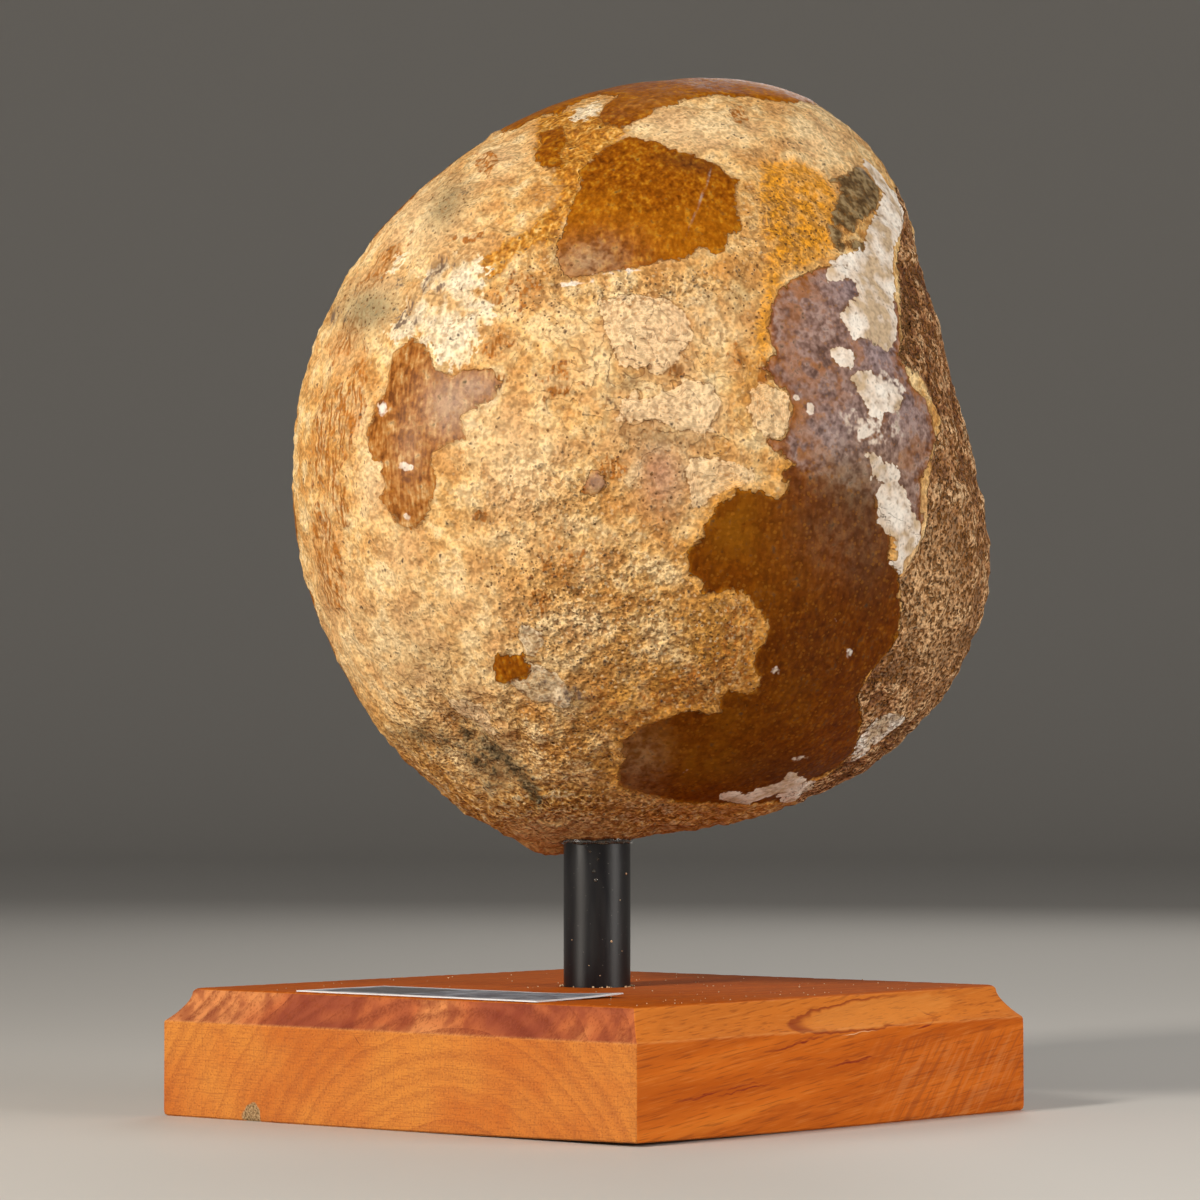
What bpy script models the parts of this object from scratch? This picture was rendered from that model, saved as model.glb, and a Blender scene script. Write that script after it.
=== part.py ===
"""Fossil mammoth femur head on a black post and a square moulded wooden base.

Units are metres and +Z is up. The origin is the middle of the base's underside.
The femur's ball is one natural piece. Its smooth joint face looks towards -Y turned
FRONT_TURN anticlockwise about +Z, and its broken growth plate looks the other way.
"""

import math

import bmesh
import bpy
import numpy as np
from mathutils import Vector

# Fit
GAP = 0.0003                    # clearance between pieces that touch

# Base block
BASE_SIDE = 0.1524
BASE_HEIGHT = 0.0315
COVE_FOOT = 0.0234              # height where the moulding starts
COVE_INSET = 0.0049             # width of the hollow part of the moulding
COVE_TOP = 0.0294               # height where the hollow ends
COVE_HOLLOW = 0.0008            # depth of the hollow below its chord
TOP_INSET = 0.0062              # edge of the flat top, in from the side
EDGE_SOFTENING = 0.0006         # worn arris and underside edge
PROFILE_STEPS = 7               # points along the hollow

# Post
POST_RADIUS = 0.00835
POST_FOOT = 0.0115
POST_TOP = 0.1115
POST_CHAMFER = 0.0006
POST_SIDES = 64

# Glue between the post and the bone
GLUE_WALL = 0.0009
GLUE_FOOT = 0.0681
GLUE_TOP = 0.0760

# Label
LABEL_LENGTH = 0.0785
LABEL_WIDTH = 0.0310
LABEL_THICKNESS = 0.0003
LABEL_CENTRE = (0.0020, -0.0543)
LABEL_TURN = math.radians(-1.0)
LABEL_CURL = 0.0008             # lift of the raised corner
LABEL_CURL_REACH = 0.030        # how far from that corner the card lifts

# Femur head, in the bone's own axes: X across the joint face, -Y out of it, +Z up
FRONT_TURN = math.radians(40.1)
BONE_CENTRE = (0.0115, 0.0120, 0.1625)
DOME_DEPTH = 0.088              # from the centre out to the front of the joint face
BACK_DEPTH = 0.080
ROUNDNESS = 2.1                 # 2 is an ellipse
MEAN_RADIUS = 0.0915            # the ball's radius where the outline's bends have died out
OUTLINE_FADE = 4                # how fast they die out away from the outline
BONE_SUBDIVISIONS = 5
# The outline across the joint face: angle in degrees up from +X, and radius in metres
OUTLINE = (
    (0, 0.0831), (15, 0.0799), (30, 0.0846), (45, 0.0935), (60, 0.1001), (72, 0.1004),
    (90, 0.0961), (120, 0.0897), (150, 0.0879), (180, 0.0880), (210, 0.0904), (235, 0.0963),
    (255, 0.0988), (272, 0.0930), (290, 0.0935), (310, 0.0959), (330, 0.0953), (345, 0.0905),
)
# The growth plate, where the ball parted from the shaft
PLATE_DISTANCE = 0.052
PLATE_TURN = math.radians(54.0)     # its normal, turned from +X towards +Y
PLATE_DROP = math.radians(-5.0)
PLATE_EDGE_SHARPNESS = 22
PLATE_RELIEF = 0.0030               # height of its knobs
# Its crossed waves: how many to a metre, which way they run, in degrees, and their phase
PLATE_WAVES = ((17.0, 20, 0.4), (22.0, 82, 2.1), (29.0, 147, 4.0), (36.0, 50, 1.1), (33.0, 115, 5.2))
# Worn hollows in the joint face, and the tongue that hangs beside the post: a point towards
# each, its reach, and how far it stands out
SWELLINGS = (
    ((-0.0436, -0.0450, -0.0708), 0.017, -0.0034),
    ((0.0700, -0.0100, 0.0480), 0.015, -0.0022),
    ((-0.0233, 0.0020, -0.0972), 0.0075, 0.0030),
)

COLLECTION = "fossil_mammoth_femur"
CUTTERS = "cutters"


def clear_scene():
    for item in list(bpy.data.objects):
        bpy.data.objects.remove(item, do_unlink=True)
    for group in list(bpy.data.collections):
        bpy.data.collections.remove(group)


def new_collection(name):
    group = bpy.data.collections.new(name)
    bpy.context.scene.collection.children.link(group)
    return group


def new_material(name, colour, roughness, metallic=0.0):
    material = bpy.data.materials.new(name)
    material.use_nodes = True
    shader = material.node_tree.nodes["Principled BSDF"]
    shader.inputs["Base Color"].default_value = (*colour, 1.0)
    shader.inputs["Roughness"].default_value = roughness
    shader.inputs["Metallic"].default_value = metallic
    return material


def new_object(name, mesh, group, material=None):
    item = bpy.data.objects.new(name, mesh)
    group.objects.link(item)
    if material:
        mesh.materials.append(material)
    return item


def mesh_from(bm, name):
    mesh = bpy.data.meshes.new(name)
    bm.to_mesh(mesh)
    bm.free()
    return mesh


def profile_object(name, points, group, material=None):
    """An open profile of (radius, height) points, top to bottom along +X."""
    mesh = bpy.data.meshes.new(name)
    rows = [(radius, 0.0, height) for radius, height in points]
    links = [(index, index + 1) for index in range(len(points) - 1)]
    mesh.from_pydata(rows, links, [])
    return new_object(name, mesh, group, material)


def turn(item, steps):
    screw = item.modifiers.new("turn", "SCREW")
    screw.axis = "Z"
    screw.angle = math.tau
    screw.steps = steps
    screw.render_steps = steps
    screw.use_merge_vertices = True
    screw.merge_threshold = 0.00001
    screw.use_normal_calculate = True


def cut(item, cutter):
    boolean = item.modifiers.new("cut_" + cutter.name, "BOOLEAN")
    boolean.operation = "DIFFERENCE"
    boolean.solver = "EXACT"
    boolean.object = cutter


def drill(name, radius, low, high, group):
    bm = bmesh.new()
    bmesh.ops.create_cone(bm, cap_ends=True, segments=POST_SIDES, radius1=radius,
                          radius2=radius, depth=high - low)
    item = new_object(name, mesh_from(bm, name), group)
    item.location = (0.0, 0.0, (low + high) / 2)
    item.hide_render = True
    item.display_type = "WIRE"
    return item


def moulding_profile():
    """The block's edge as (inset, height), from the flat top down to the underside."""
    points = [(TOP_INSET, BASE_HEIGHT)]
    points.append((TOP_INSET - 0.5 * EDGE_SOFTENING, BASE_HEIGHT - 0.3 * EDGE_SOFTENING))
    points.append((COVE_INSET + 0.2 * EDGE_SOFTENING, BASE_HEIGHT - 1.4 * EDGE_SOFTENING))
    chord = math.hypot(COVE_INSET, COVE_TOP - COVE_FOOT)
    inward = (COVE_TOP - COVE_FOOT) / chord, -COVE_INSET / chord
    for step in range(PROFILE_STEPS):
        along = step / (PROFILE_STEPS - 1)
        sag = COVE_HOLLOW * 4 * along * (1 - along)
        points.append((COVE_INSET * (1 - along) + sag * inward[0],
                       COVE_TOP + (COVE_FOOT - COVE_TOP) * along + sag * inward[1]))
    points.append((0.0, COVE_FOOT - EDGE_SOFTENING))
    points.append((0.0, EDGE_SOFTENING))
    points.append((EDGE_SOFTENING, 0.0))
    return points


def make_base(group, cutters):
    """A turned profile in four steps is a square block with mitred mouldings."""
    to_corner = math.sqrt(2)
    edge = [((BASE_SIDE / 2 - inset) * to_corner, height) for inset, height in moulding_profile()]
    points = [(0.0, BASE_HEIGHT)] + edge + [(0.0, 0.0)]
    wood = new_material("cherry_wood", (0.56, 0.24, 0.08), 0.45)
    base = profile_object("base", points, group, wood)
    turn(base, 4)
    base.rotation_euler = (0.0, 0.0, math.radians(45))
    cut(base, drill("post_hole", POST_RADIUS + GAP, POST_FOOT - GAP, BASE_HEIGHT + 0.01, cutters))
    return base


def make_post(group):
    points = (
        (0.0, POST_TOP),
        (POST_RADIUS - POST_CHAMFER, POST_TOP),
        (POST_RADIUS, POST_TOP - POST_CHAMFER),
        (POST_RADIUS, POST_FOOT + POST_CHAMFER),
        (POST_RADIUS - POST_CHAMFER, POST_FOOT),
        (0.0, POST_FOOT),
    )
    paint = new_material("black_satin", (0.012, 0.012, 0.013), 0.35)
    post = profile_object("post", points, group, paint)
    turn(post, POST_SIDES)
    return post


def make_glue(group):
    """A sleeve of set glue in the mouth of the bone's socket."""
    inner = POST_RADIUS + GAP
    outer = inner + GLUE_WALL
    points = (
        (inner, GLUE_TOP),
        (outer, GLUE_TOP),
        (outer, GLUE_FOOT + 0.4 * GLUE_WALL),
        (outer - 0.3 * GLUE_WALL, GLUE_FOOT),
        (inner, GLUE_FOOT + 0.2 * GLUE_WALL),
        (inner, GLUE_TOP),
    )
    clear = new_material("clear_glue", (0.75, 0.75, 0.72), 0.1)
    glue = profile_object("glue", points, group, clear)
    turn(glue, POST_SIDES)
    weld = glue.modifiers.new("close_profile", "WELD")
    weld.merge_threshold = 0.00001
    return glue


def make_label(group):
    """A thin card on the block's top, with one corner lifting off the wood."""
    bm = bmesh.new()
    bmesh.ops.create_grid(bm, x_segments=19, y_segments=8, size=0.5)
    corner = Vector((LABEL_LENGTH / 2, LABEL_WIDTH / 2))
    for vert in bm.verts:
        vert.co.x *= LABEL_LENGTH
        vert.co.y *= LABEL_WIDTH
        away = (corner - vert.co.xy).length
        vert.co.z = LABEL_CURL * max(0.0, 1 - away / LABEL_CURL_REACH) ** 2
    paper = new_material("paper", (0.78, 0.80, 0.84), 0.7)
    label = new_object("label", mesh_from(bm, "label"), group, paper)
    label.location = (*LABEL_CENTRE, BASE_HEIGHT + GAP)
    label.rotation_euler = (0.0, 0.0, LABEL_TURN)
    thicken = label.modifiers.new("thickness", "SOLIDIFY")
    thicken.thickness = LABEL_THICKNESS
    thicken.offset = 1.0
    return label


def outline_radius(angles):
    """A smooth closed curve through the outline's points, at angles in degrees."""
    knots = np.array(OUTLINE)
    turns = np.concatenate((knots[-2:, 0] - 360, knots[:, 0], knots[:2, 0] + 360))
    radii = np.concatenate((knots[-2:, 1], knots[:, 1], knots[:2, 1]))
    slopes = np.zeros_like(radii)
    slopes[1:-1] = (radii[2:] - radii[:-2]) / (turns[2:] - turns[:-2])
    index = np.searchsorted(turns, angles, side="right") - 1
    span = turns[index + 1] - turns[index]
    t = (angles - turns[index]) / span
    start = (2 * t**3 - 3 * t**2 + 1) * radii[index] + (t**3 - 2 * t**2 + t) * span * slopes[index]
    end = (3 * t**2 - 2 * t**3) * radii[index + 1] + (t**3 - t**2) * span * slopes[index + 1]
    return start + end


def plate_normal():
    return np.array((
        math.cos(PLATE_DROP) * math.cos(PLATE_TURN),
        math.cos(PLATE_DROP) * math.sin(PLATE_TURN),
        math.sin(PLATE_DROP),
    ))


def plate_knobs(points):
    """The rolling relief of the growth plate, a sum of a few crossed waves."""
    x, y, z = points.T
    across = x * math.sin(PLATE_TURN) - y * math.cos(PLATE_TURN)
    height = np.zeros(len(points))
    for rate, degrees, phase in PLATE_WAVES:
        way = math.radians(degrees)
        along = math.tau * rate * (across * math.cos(way) + z * math.sin(way))
        side = math.tau * rate * (z * math.cos(way) - across * math.sin(way))
        height += np.sin(along + phase + np.sin(0.7 * side + 2 * phase))
    return PLATE_RELIEF * height / len(PLATE_WAVES)


def bone_radius(directions):
    """Distance from the centre to the bone's surface along unit directions."""
    x, y, z = directions.T
    across = np.hypot(x, z)
    bends = outline_radius(np.degrees(np.arctan2(z, x)) % 360) - MEAN_RADIUS
    outline = MEAN_RADIUS + bends * across**OUTLINE_FADE
    depth = np.where(y < 0, DOME_DEPTH, BACK_DEPTH)
    ball = (across / outline) ** ROUNDNESS + (np.abs(y) / depth) ** ROUNDNESS
    ball = ball ** (-1 / ROUNDNESS)
    facing = np.maximum(directions @ plate_normal(), 0.001)
    flat = PLATE_DISTANCE / facing
    knobs = plate_knobs(directions * np.minimum(ball, flat)[:, None])
    plate = (PLATE_DISTANCE + knobs) / facing
    sharp = PLATE_EDGE_SHARPNESS
    radius = (ball**-sharp + plate**-sharp) ** (-1 / sharp)
    for towards, reach, height in SWELLINGS:
        centre = np.array(towards) / np.linalg.norm(towards)
        away = np.linalg.norm(directions - centre, axis=1) * ball / reach
        radius += height * np.exp(-away**2)
    return radius


def make_femur_head(group, cutters):
    bm = bmesh.new()
    bmesh.ops.create_icosphere(bm, subdivisions=BONE_SUBDIVISIONS, radius=1.0)
    directions = np.array([vert.co.normalized() for vert in bm.verts])
    for vert, direction, radius in zip(bm.verts, directions, bone_radius(directions)):
        vert.co = Vector(direction * radius)
    mesh = mesh_from(bm, "femur_head")
    mesh.shade_smooth()
    bone = new_material("fossil_bone", (0.55, 0.38, 0.20), 0.75)
    head = new_object("femur_head", mesh, group, bone)
    head.rotation_euler = (0.0, 0.0, FRONT_TURN)
    x, y, z = BONE_CENTRE
    head.location = (
        x * math.cos(FRONT_TURN) - y * math.sin(FRONT_TURN),
        x * math.sin(FRONT_TURN) + y * math.cos(FRONT_TURN),
        z,
    )
    socket = POST_RADIUS + 2 * GAP + GLUE_WALL
    cut(head, drill("socket", socket, GLUE_FOOT - 0.03, POST_TOP + GAP, cutters))
    return head


def main():
    clear_scene()
    group = new_collection(COLLECTION)
    cutters = new_collection(CUTTERS)
    make_base(group, cutters)
    make_post(group)
    make_glue(group)
    make_label(group)
    make_femur_head(group, cutters)


main()
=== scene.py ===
"""Looks of the fossil mammoth femur head on its stand.

The bone, post, glue, base and label are finer meshes that stand for their CAD nodes.
Lengths are in metres. Places on the bone's face are given as pixels of a 1200 x 1200
picture taken by the camera below, and are carried onto the bone along its rays.
"""

import math

import bmesh
import bpy
import numpy as np
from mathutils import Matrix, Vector, noise


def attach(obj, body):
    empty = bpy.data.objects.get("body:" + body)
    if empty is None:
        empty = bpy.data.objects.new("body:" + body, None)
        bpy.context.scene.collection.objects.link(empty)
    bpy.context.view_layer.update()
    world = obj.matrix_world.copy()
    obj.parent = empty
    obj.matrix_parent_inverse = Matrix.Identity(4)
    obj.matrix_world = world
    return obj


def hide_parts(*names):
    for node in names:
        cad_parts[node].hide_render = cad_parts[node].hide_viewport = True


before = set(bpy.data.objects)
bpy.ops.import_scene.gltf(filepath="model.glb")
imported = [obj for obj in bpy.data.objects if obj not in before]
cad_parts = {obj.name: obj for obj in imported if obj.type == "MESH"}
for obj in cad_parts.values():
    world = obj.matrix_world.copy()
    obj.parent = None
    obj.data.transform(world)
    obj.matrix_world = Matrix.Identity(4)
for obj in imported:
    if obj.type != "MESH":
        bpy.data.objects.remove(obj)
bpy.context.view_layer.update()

MM = 0.001

# Camera
PICTURE = 1200                  # pixels across and down
FOCAL_PIXELS = 4784.7
SENSOR = 36.0
FRONT_TURN = math.radians(40.14)
CAMERA_DISTANCE = 1.1971
CAMERA_RIGHT = 0.00073
CAMERA_HEIGHT = 0.08844
CAMERA_PITCH = 0.033

# Femur head, in its own axes: X across the joint face, -Y out of it, +Z up
BONE_TURN = math.radians(40.1)
BONE_CENTRE = np.array((0.0115, 0.0120, 0.1625))
BONE_GRID = 125                 # quads along each side of the cube that is blown up to the bone
FRONT_CROWDING = 0.76           # under 1 draws the grid together on the joint face
DOME_DEPTH = 0.088
BACK_DEPTH = 0.080
ROUNDNESS = 2.1
MEAN_RADIUS = 0.0915
OUTLINE_FADE = 4
OUTLINE = (
    (0, 0.0831), (15, 0.0799), (30, 0.0846), (45, 0.0935), (60, 0.1001), (72, 0.1004),
    (90, 0.0961), (120, 0.0897), (150, 0.0879), (180, 0.0880), (210, 0.0904), (235, 0.0963),
    (255, 0.0988), (272, 0.0930), (290, 0.0935), (310, 0.0959), (330, 0.0953), (345, 0.0905),
)
PLATE_DISTANCE = 0.052
PLATE_TURN = math.radians(54.0)
PLATE_DROP = math.radians(-5.0)
PLATE_EDGE_SHARPNESS = 22
PLATE_RELIEF = 0.0030
PLATE_WAVES = ((17.0, 20, 0.4), (22.0, 82, 2.1), (29.0, 147, 4.0), (36.0, 50, 1.1), (33.0, 115, 5.2))
HOLLOWS = (
    ((-0.0436, -0.0450, -0.0708), 0.017, 0.0034),
    ((0.0700, -0.0100, 0.0480), 0.015, 0.0022),
)
SOCKET_RADIUS = 0.0089
SOCKET_DEPTH = 0.035
COLLAR_HEIGHT = 0.0683
COLLAR_REACH = 0.016

# Stand
BASE_SIDE = 0.1524
BASE_HEIGHT = 0.0315
BASE_PROFILE = (                # inset and height, from the flat top down to the underside
    (0.0074, 0.0315), (0.0064, 0.0315), (0.0058, 0.03136), (0.0053, 0.03105), (0.0050, 0.0306),
    (0.0049, 0.0300), (0.0048, 0.0295), (0.0044, 0.0285), (0.0038, 0.0275), (0.0030, 0.0264),
    (0.0021, 0.0253), (0.0011, 0.0243), (0.0003, 0.0236), (0.00005, 0.0233), (0.0, 0.0228),
    (0.0, 0.0200), (0.0, 0.0170), (0.0, 0.0140), (0.0, 0.0110), (0.0, 0.0080), (0.0, 0.0054),
    (0.0, 0.0030), (0.0, 0.0012), (0.0001, 0.0004), (0.0006, 0.0), (0.0030, 0.0),
)
COVE_FOOT = 0.0234              # height of the arris below the moulding
TOP_SHARES = (0.01, 0.05, 0.12, 0.22, 0.34, 0.47, 0.60, 0.72, 0.83, 0.92)    # from the hole to the edge
UNDERSIDE_SHARES = (0.85, 0.6, 0.3, 0.05)
BASE_SIDE_POINTS = 96
ROUND_SIDES = 96                # of the post, the glue and the floor
CORNER_RADIUS = 0.0004
POST_RADIUS = 0.00835
POST_FOOT = 0.0115
POST_TOP = 0.1115
POST_HOLE = 0.00865
GLUE_PROFILE = (                # radius and height, round the bead
    (0.00845, 0.0760), (0.00885, 0.0758), (0.00885, 0.0715), (0.0088, 0.0702), (0.0089, 0.0690),
    (0.0090, 0.0680), (0.00895, 0.0674), (0.0087, 0.0671), (0.00840, 0.0672),
)
GLUE_SHOULDER = 0.0715          # the bead is wavy below this height
LABEL_SIZE = (0.0785, 0.0310)
LABEL_THICKNESS = 0.0003
LABEL_CENTRE = (0.0020, -0.0543)
LABEL_TURN = math.radians(-1.0)
LABEL_LIFT = 0.0008
LABEL_LIFT_REACH = 0.030
RULE_SPACING = 3.1 * MM
RING_CENTRE = (0.0185, -0.0762, -0.033)     # where the pith of the growth rings meets the -Y face
RING_RISE = 0.12                # of the pith, for each metre along +Y
RING_SPACING = 0.00435
CHIP = (-0.0458, -0.0762, 0.0012)
GUM_STREAKS = (                 # on the +X face: place along Y, height, half length, half width, turn
    (-0.0535, 0.0103, 0.0095, 0.00042, 7), (-0.0375, 0.0110, 0.0150, 0.00030, 6),
    (-0.0380, 0.0120, 0.0080, 0.00034, 5), (0.0048, 0.0156, 0.0125, 0.00050, 4),
    (-0.0147, 0.0212, 0.0155, 0.00045, 9), (0.0345, 0.0231, 0.0070, 0.00040, 8),
    (0.0375, 0.0262, 0.0060, 0.00050, -24), (0.0310, 0.0282, 0.0050, 0.00045, 30),
)
FLAME_CENTRE = (0.0735, 0.020, 0.0268)
FLAME_HALVES = (0.060, 0.0375, 0.0036)

# Drops and dust on the post: picture pixel, and radius
GLUE_DROPS = ((598, 859, 0.00045), (594, 871, 0.00055), (595.5, 880, 0.0006), (590, 851, 0.0004))
POST_DUST = ((626, 874, 0.00035), (611.5, 941, 0.00030), (572, 940, 0.00018), (620, 900, 0.00018),
             (622, 951, 0.00016), (589, 965, 0.00014), (600, 975, 0.00016))

# Patches of the joint face, as outlines in picture pixels. Points off the bone's outline
# lie round its edge, on the side that the camera doesn't see.
RAISED_SKIN = (
    ((600, 150), (629, 137), (656, 142), (676, 152), (700, 157), (717, 164), (727, 174), (739, 181),
     (734, 196), (741, 230), (727, 239), (722, 254), (700, 251), (683, 261), (656, 264), (632, 268),
     (600, 274), (571, 280), (561, 268), (557, 250), (566, 225), (578, 196), (583, 171)),
    ((604, 126), (600, 116), (606, 106), (618, 98), (600, 96), (580, 103), (560, 112), (540, 118),
     (520, 128), (505, 134), (498, 131), (516, 108), (548, 92), (560, 66), (588, 82), (604, 52),
     (630, 66), (646, 34), (682, 50), (708, 18), (742, 44), (770, 30), (800, 56), (829, 88), (821, 104),
     (790, 105), (746, 98), (707, 97), (664, 108), (640, 120), (628, 130)),
    ((533, 158), (543, 143), (539, 134), (561, 126), (566, 140), (558, 154), (563, 168), (549, 170)),
    ((494, 666), (498, 656), (506, 651), (511, 655), (521, 655), (526, 653), (526, 663), (531, 668),
     (528, 677), (518, 677), (511, 681), (499, 679)),
)
LOW_SKIN = (
    ((798, 463), (790, 466), (781, 473), (788, 483), (786, 493), (780, 499), (770, 499), (761, 491),
     (745, 493), (736, 489), (733, 496), (720, 504), (713, 519), (705, 526), (703, 534), (690, 551),
     (690, 576), (703, 579), (704, 592), (712, 596), (723, 589), (743, 591), (756, 605), (768, 620),
     (770, 630), (762, 643), (752, 661), (760, 674), (757, 691), (742, 694), (729, 690), (722, 698),
     (721, 711), (710, 715), (701, 710), (681, 711), (664, 719), (647, 724), (640, 728), (637, 734),
     (621, 739), (625, 758), (619, 767), (620, 784), (647, 793), (681, 800), (723, 803), (755, 802),
     (780, 800), (800, 784), (830, 770), (855, 750), (860, 719), (857, 696), (870, 673), (890, 648),
     (898, 630), (901, 610), (898, 576), (888, 559), (890, 538), (886, 520), (878, 513), (875, 482),
     (850, 450)),
)
LILAC = (
    ((824, 266), (800, 276), (780, 288), (772, 306), (768, 326), (775, 351), (763, 368), (772, 380),
     (788, 392), (792, 410), (788, 430), (780, 441), (766, 440), (773, 451), (800, 468), (830, 480),
     (875, 500), (923, 540), (921, 482), (936, 439), (925, 400), (913, 388), (899, 358), (901, 327),
     (897, 300), (857, 270)),
)
BROWN = (
    ((413, 337), (421, 345), (431, 356), (434, 369), (444, 372), (450, 378), (463, 370), (479, 369),
     (495, 372), (500, 384), (494, 398), (481, 404), (469, 410), (462, 416), (462, 428), (466, 438),
     (450, 443), (436, 451), (432, 461), (434, 474), (436, 483), (431, 509), (424, 518), (418, 528),
     (408, 528), (397, 522), (389, 512), (381, 496), (386, 490), (383, 474), (384, 464), (375, 458),
     (370, 448), (368, 432), (373, 419), (377, 402), (386, 394), (388, 378), (392, 366), (396, 353)),
    ((590, 474), (598, 471), (605, 476), (606, 487), (600, 493), (589, 494), (583, 490)),
)
OLIVE = (
    ((859, 166), (869, 179), (878, 192), (877, 211), (866, 217), (856, 224), (853, 233), (843, 230),
     (830, 222), (834, 208), (840, 195), (838, 182), (832, 180), (846, 175)),
    ((830, 225), (843, 233), (840, 242), (864, 243), (866, 250), (856, 249), (837, 252), (832, 240)),
)
CRUST = (
    ((862, 157), (872, 166), (888, 185), (898, 198), (902, 211), (901, 230), (894, 249), (893, 268),
     (896, 288), (894, 307), (898, 326), (894, 345), (886, 352), (875, 342), (856, 339), (846, 329),
     (840, 316), (842, 307), (853, 299), (859, 291), (853, 281), (843, 280), (827, 280), (826, 268),
     (837, 256), (850, 254), (866, 249), (866, 236), (872, 220), (878, 211), (880, 195), (870, 179)),
    ((830, 348), (850, 348), (856, 358), (850, 368), (834, 364)),
    ((848, 378), (860, 371), (872, 371), (880, 384), (888, 392), (904, 396), (900, 408), (889, 412),
     (879, 419), (869, 415), (862, 398)),
    ((864, 450), (874, 453), (884, 461), (897, 465), (902, 473), (899, 483), (906, 486), (907, 496),
     (914, 513), (921, 523), (922, 539), (916, 547), (906, 557), (899, 573), (887, 562), (896, 556),
     (889, 534), (881, 526), (877, 496), (887, 480), (869, 478), (874, 468)),
    ((722, 800), (722, 791), (731, 790), (742, 793), (755, 788), (768, 783), (779, 782), (788, 771),
     (801, 774), (803, 778), (818, 780), (805, 795), (783, 804), (778, 793), (768, 796), (747, 804)),
    ((857, 743), (868, 728), (881, 718), (900, 713), (905, 720), (890, 734), (874, 744), (860, 758),
     (850, 764)),
)
PLATES = (                      # flakes of the worn surface that still stand up
    ((748, 392), (760, 384), (770, 385), (778, 391), (788, 392), (790, 400), (790, 421), (785, 435),
     (780, 440), (771, 438), (763, 433), (753, 425), (748, 413)),
    ((623, 400), (639, 388), (643, 402), (658, 396), (676, 388), (684, 380), (700, 382), (711, 386),
     (719, 398), (719, 408), (713, 417), (712, 431), (694, 431), (680, 431), (672, 423), (643, 422),
     (618, 421)),
    ((690, 457), (721, 459), (751, 470), (753, 480), (735, 486), (721, 490), (706, 502), (694, 506),
     (690, 494), (686, 474)),
    ((600, 300), (640, 294), (670, 300), (690, 318), (693, 340), (684, 350), (676, 362), (668, 372),
     (650, 375), (646, 368), (622, 368), (612, 350), (604, 325)),
    ((451, 696), (466, 698), (483, 703), (489, 713), (494, 726), (496, 734), (486, 733), (473, 719),
     (460, 713), (451, 706)),
)
CHIPS = (                       # greyer flakes
    ((521, 627), (529, 625), (536, 628), (541, 633), (544, 640), (540, 648), (537, 656), (529, 654),
     (527, 648), (523, 641), (518, 635)),
    ((528, 661), (534, 664), (541, 666), (554, 673), (566, 683), (574, 693), (569, 706), (559, 705),
     (546, 701), (529, 698), (523, 695), (509, 681), (518, 677), (528, 677), (531, 668)),
)
RIM = (
    ((894, 176), (901, 230), (899, 268), (904, 339), (899, 358), (923, 382), (942, 419), (936, 439),
     (930, 480), (926, 538), (912, 560), (898, 579), (901, 610), (898, 630), (890, 648), (870, 673),
     (857, 696), (862, 720), (856, 745), (830, 772), (800, 790), (790, 830), (860, 900), (1000, 800),
     (1090, 600), (1060, 380), (980, 200), (920, 150)),
)
ORANGE = (
    ((763, 160), (800, 158), (826, 176), (838, 200), (834, 226), (836, 250), (816, 262), (800, 268),
     (786, 276), (776, 300), (768, 330), (770, 356), (758, 360), (756, 330), (762, 296), (768, 262),
     (762, 226), (758, 190)),
)
GOLD = (
    ((540, 118), (575, 110), (604, 118), (630, 130), (600, 152), (585, 171), (580, 196), (568, 222),
     (560, 244), (538, 246), (520, 252), (508, 262), (502, 276), (488, 280), (478, 268), (484, 254),
     (510, 240), (534, 224), (552, 205), (560, 190), (546, 166), (533, 150)),
)
WHITE = (
    ((475, 250), (456, 253), (440, 262), (426, 272), (416, 282), (405, 300), (401, 315), (398, 325),
     (385, 333), (396, 342), (415, 338), (425, 345), (438, 352), (438, 362), (450, 368), (466, 362),
     (476, 350), (480, 334), (492, 322), (490, 302), (481, 288), (486, 272), (480, 258)),
    ((388, 268), (394, 256), (402, 252), (402, 262), (394, 272)),
    ((572, 117), (580, 108), (596, 102), (608, 100), (600, 112), (588, 120)),
)

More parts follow.
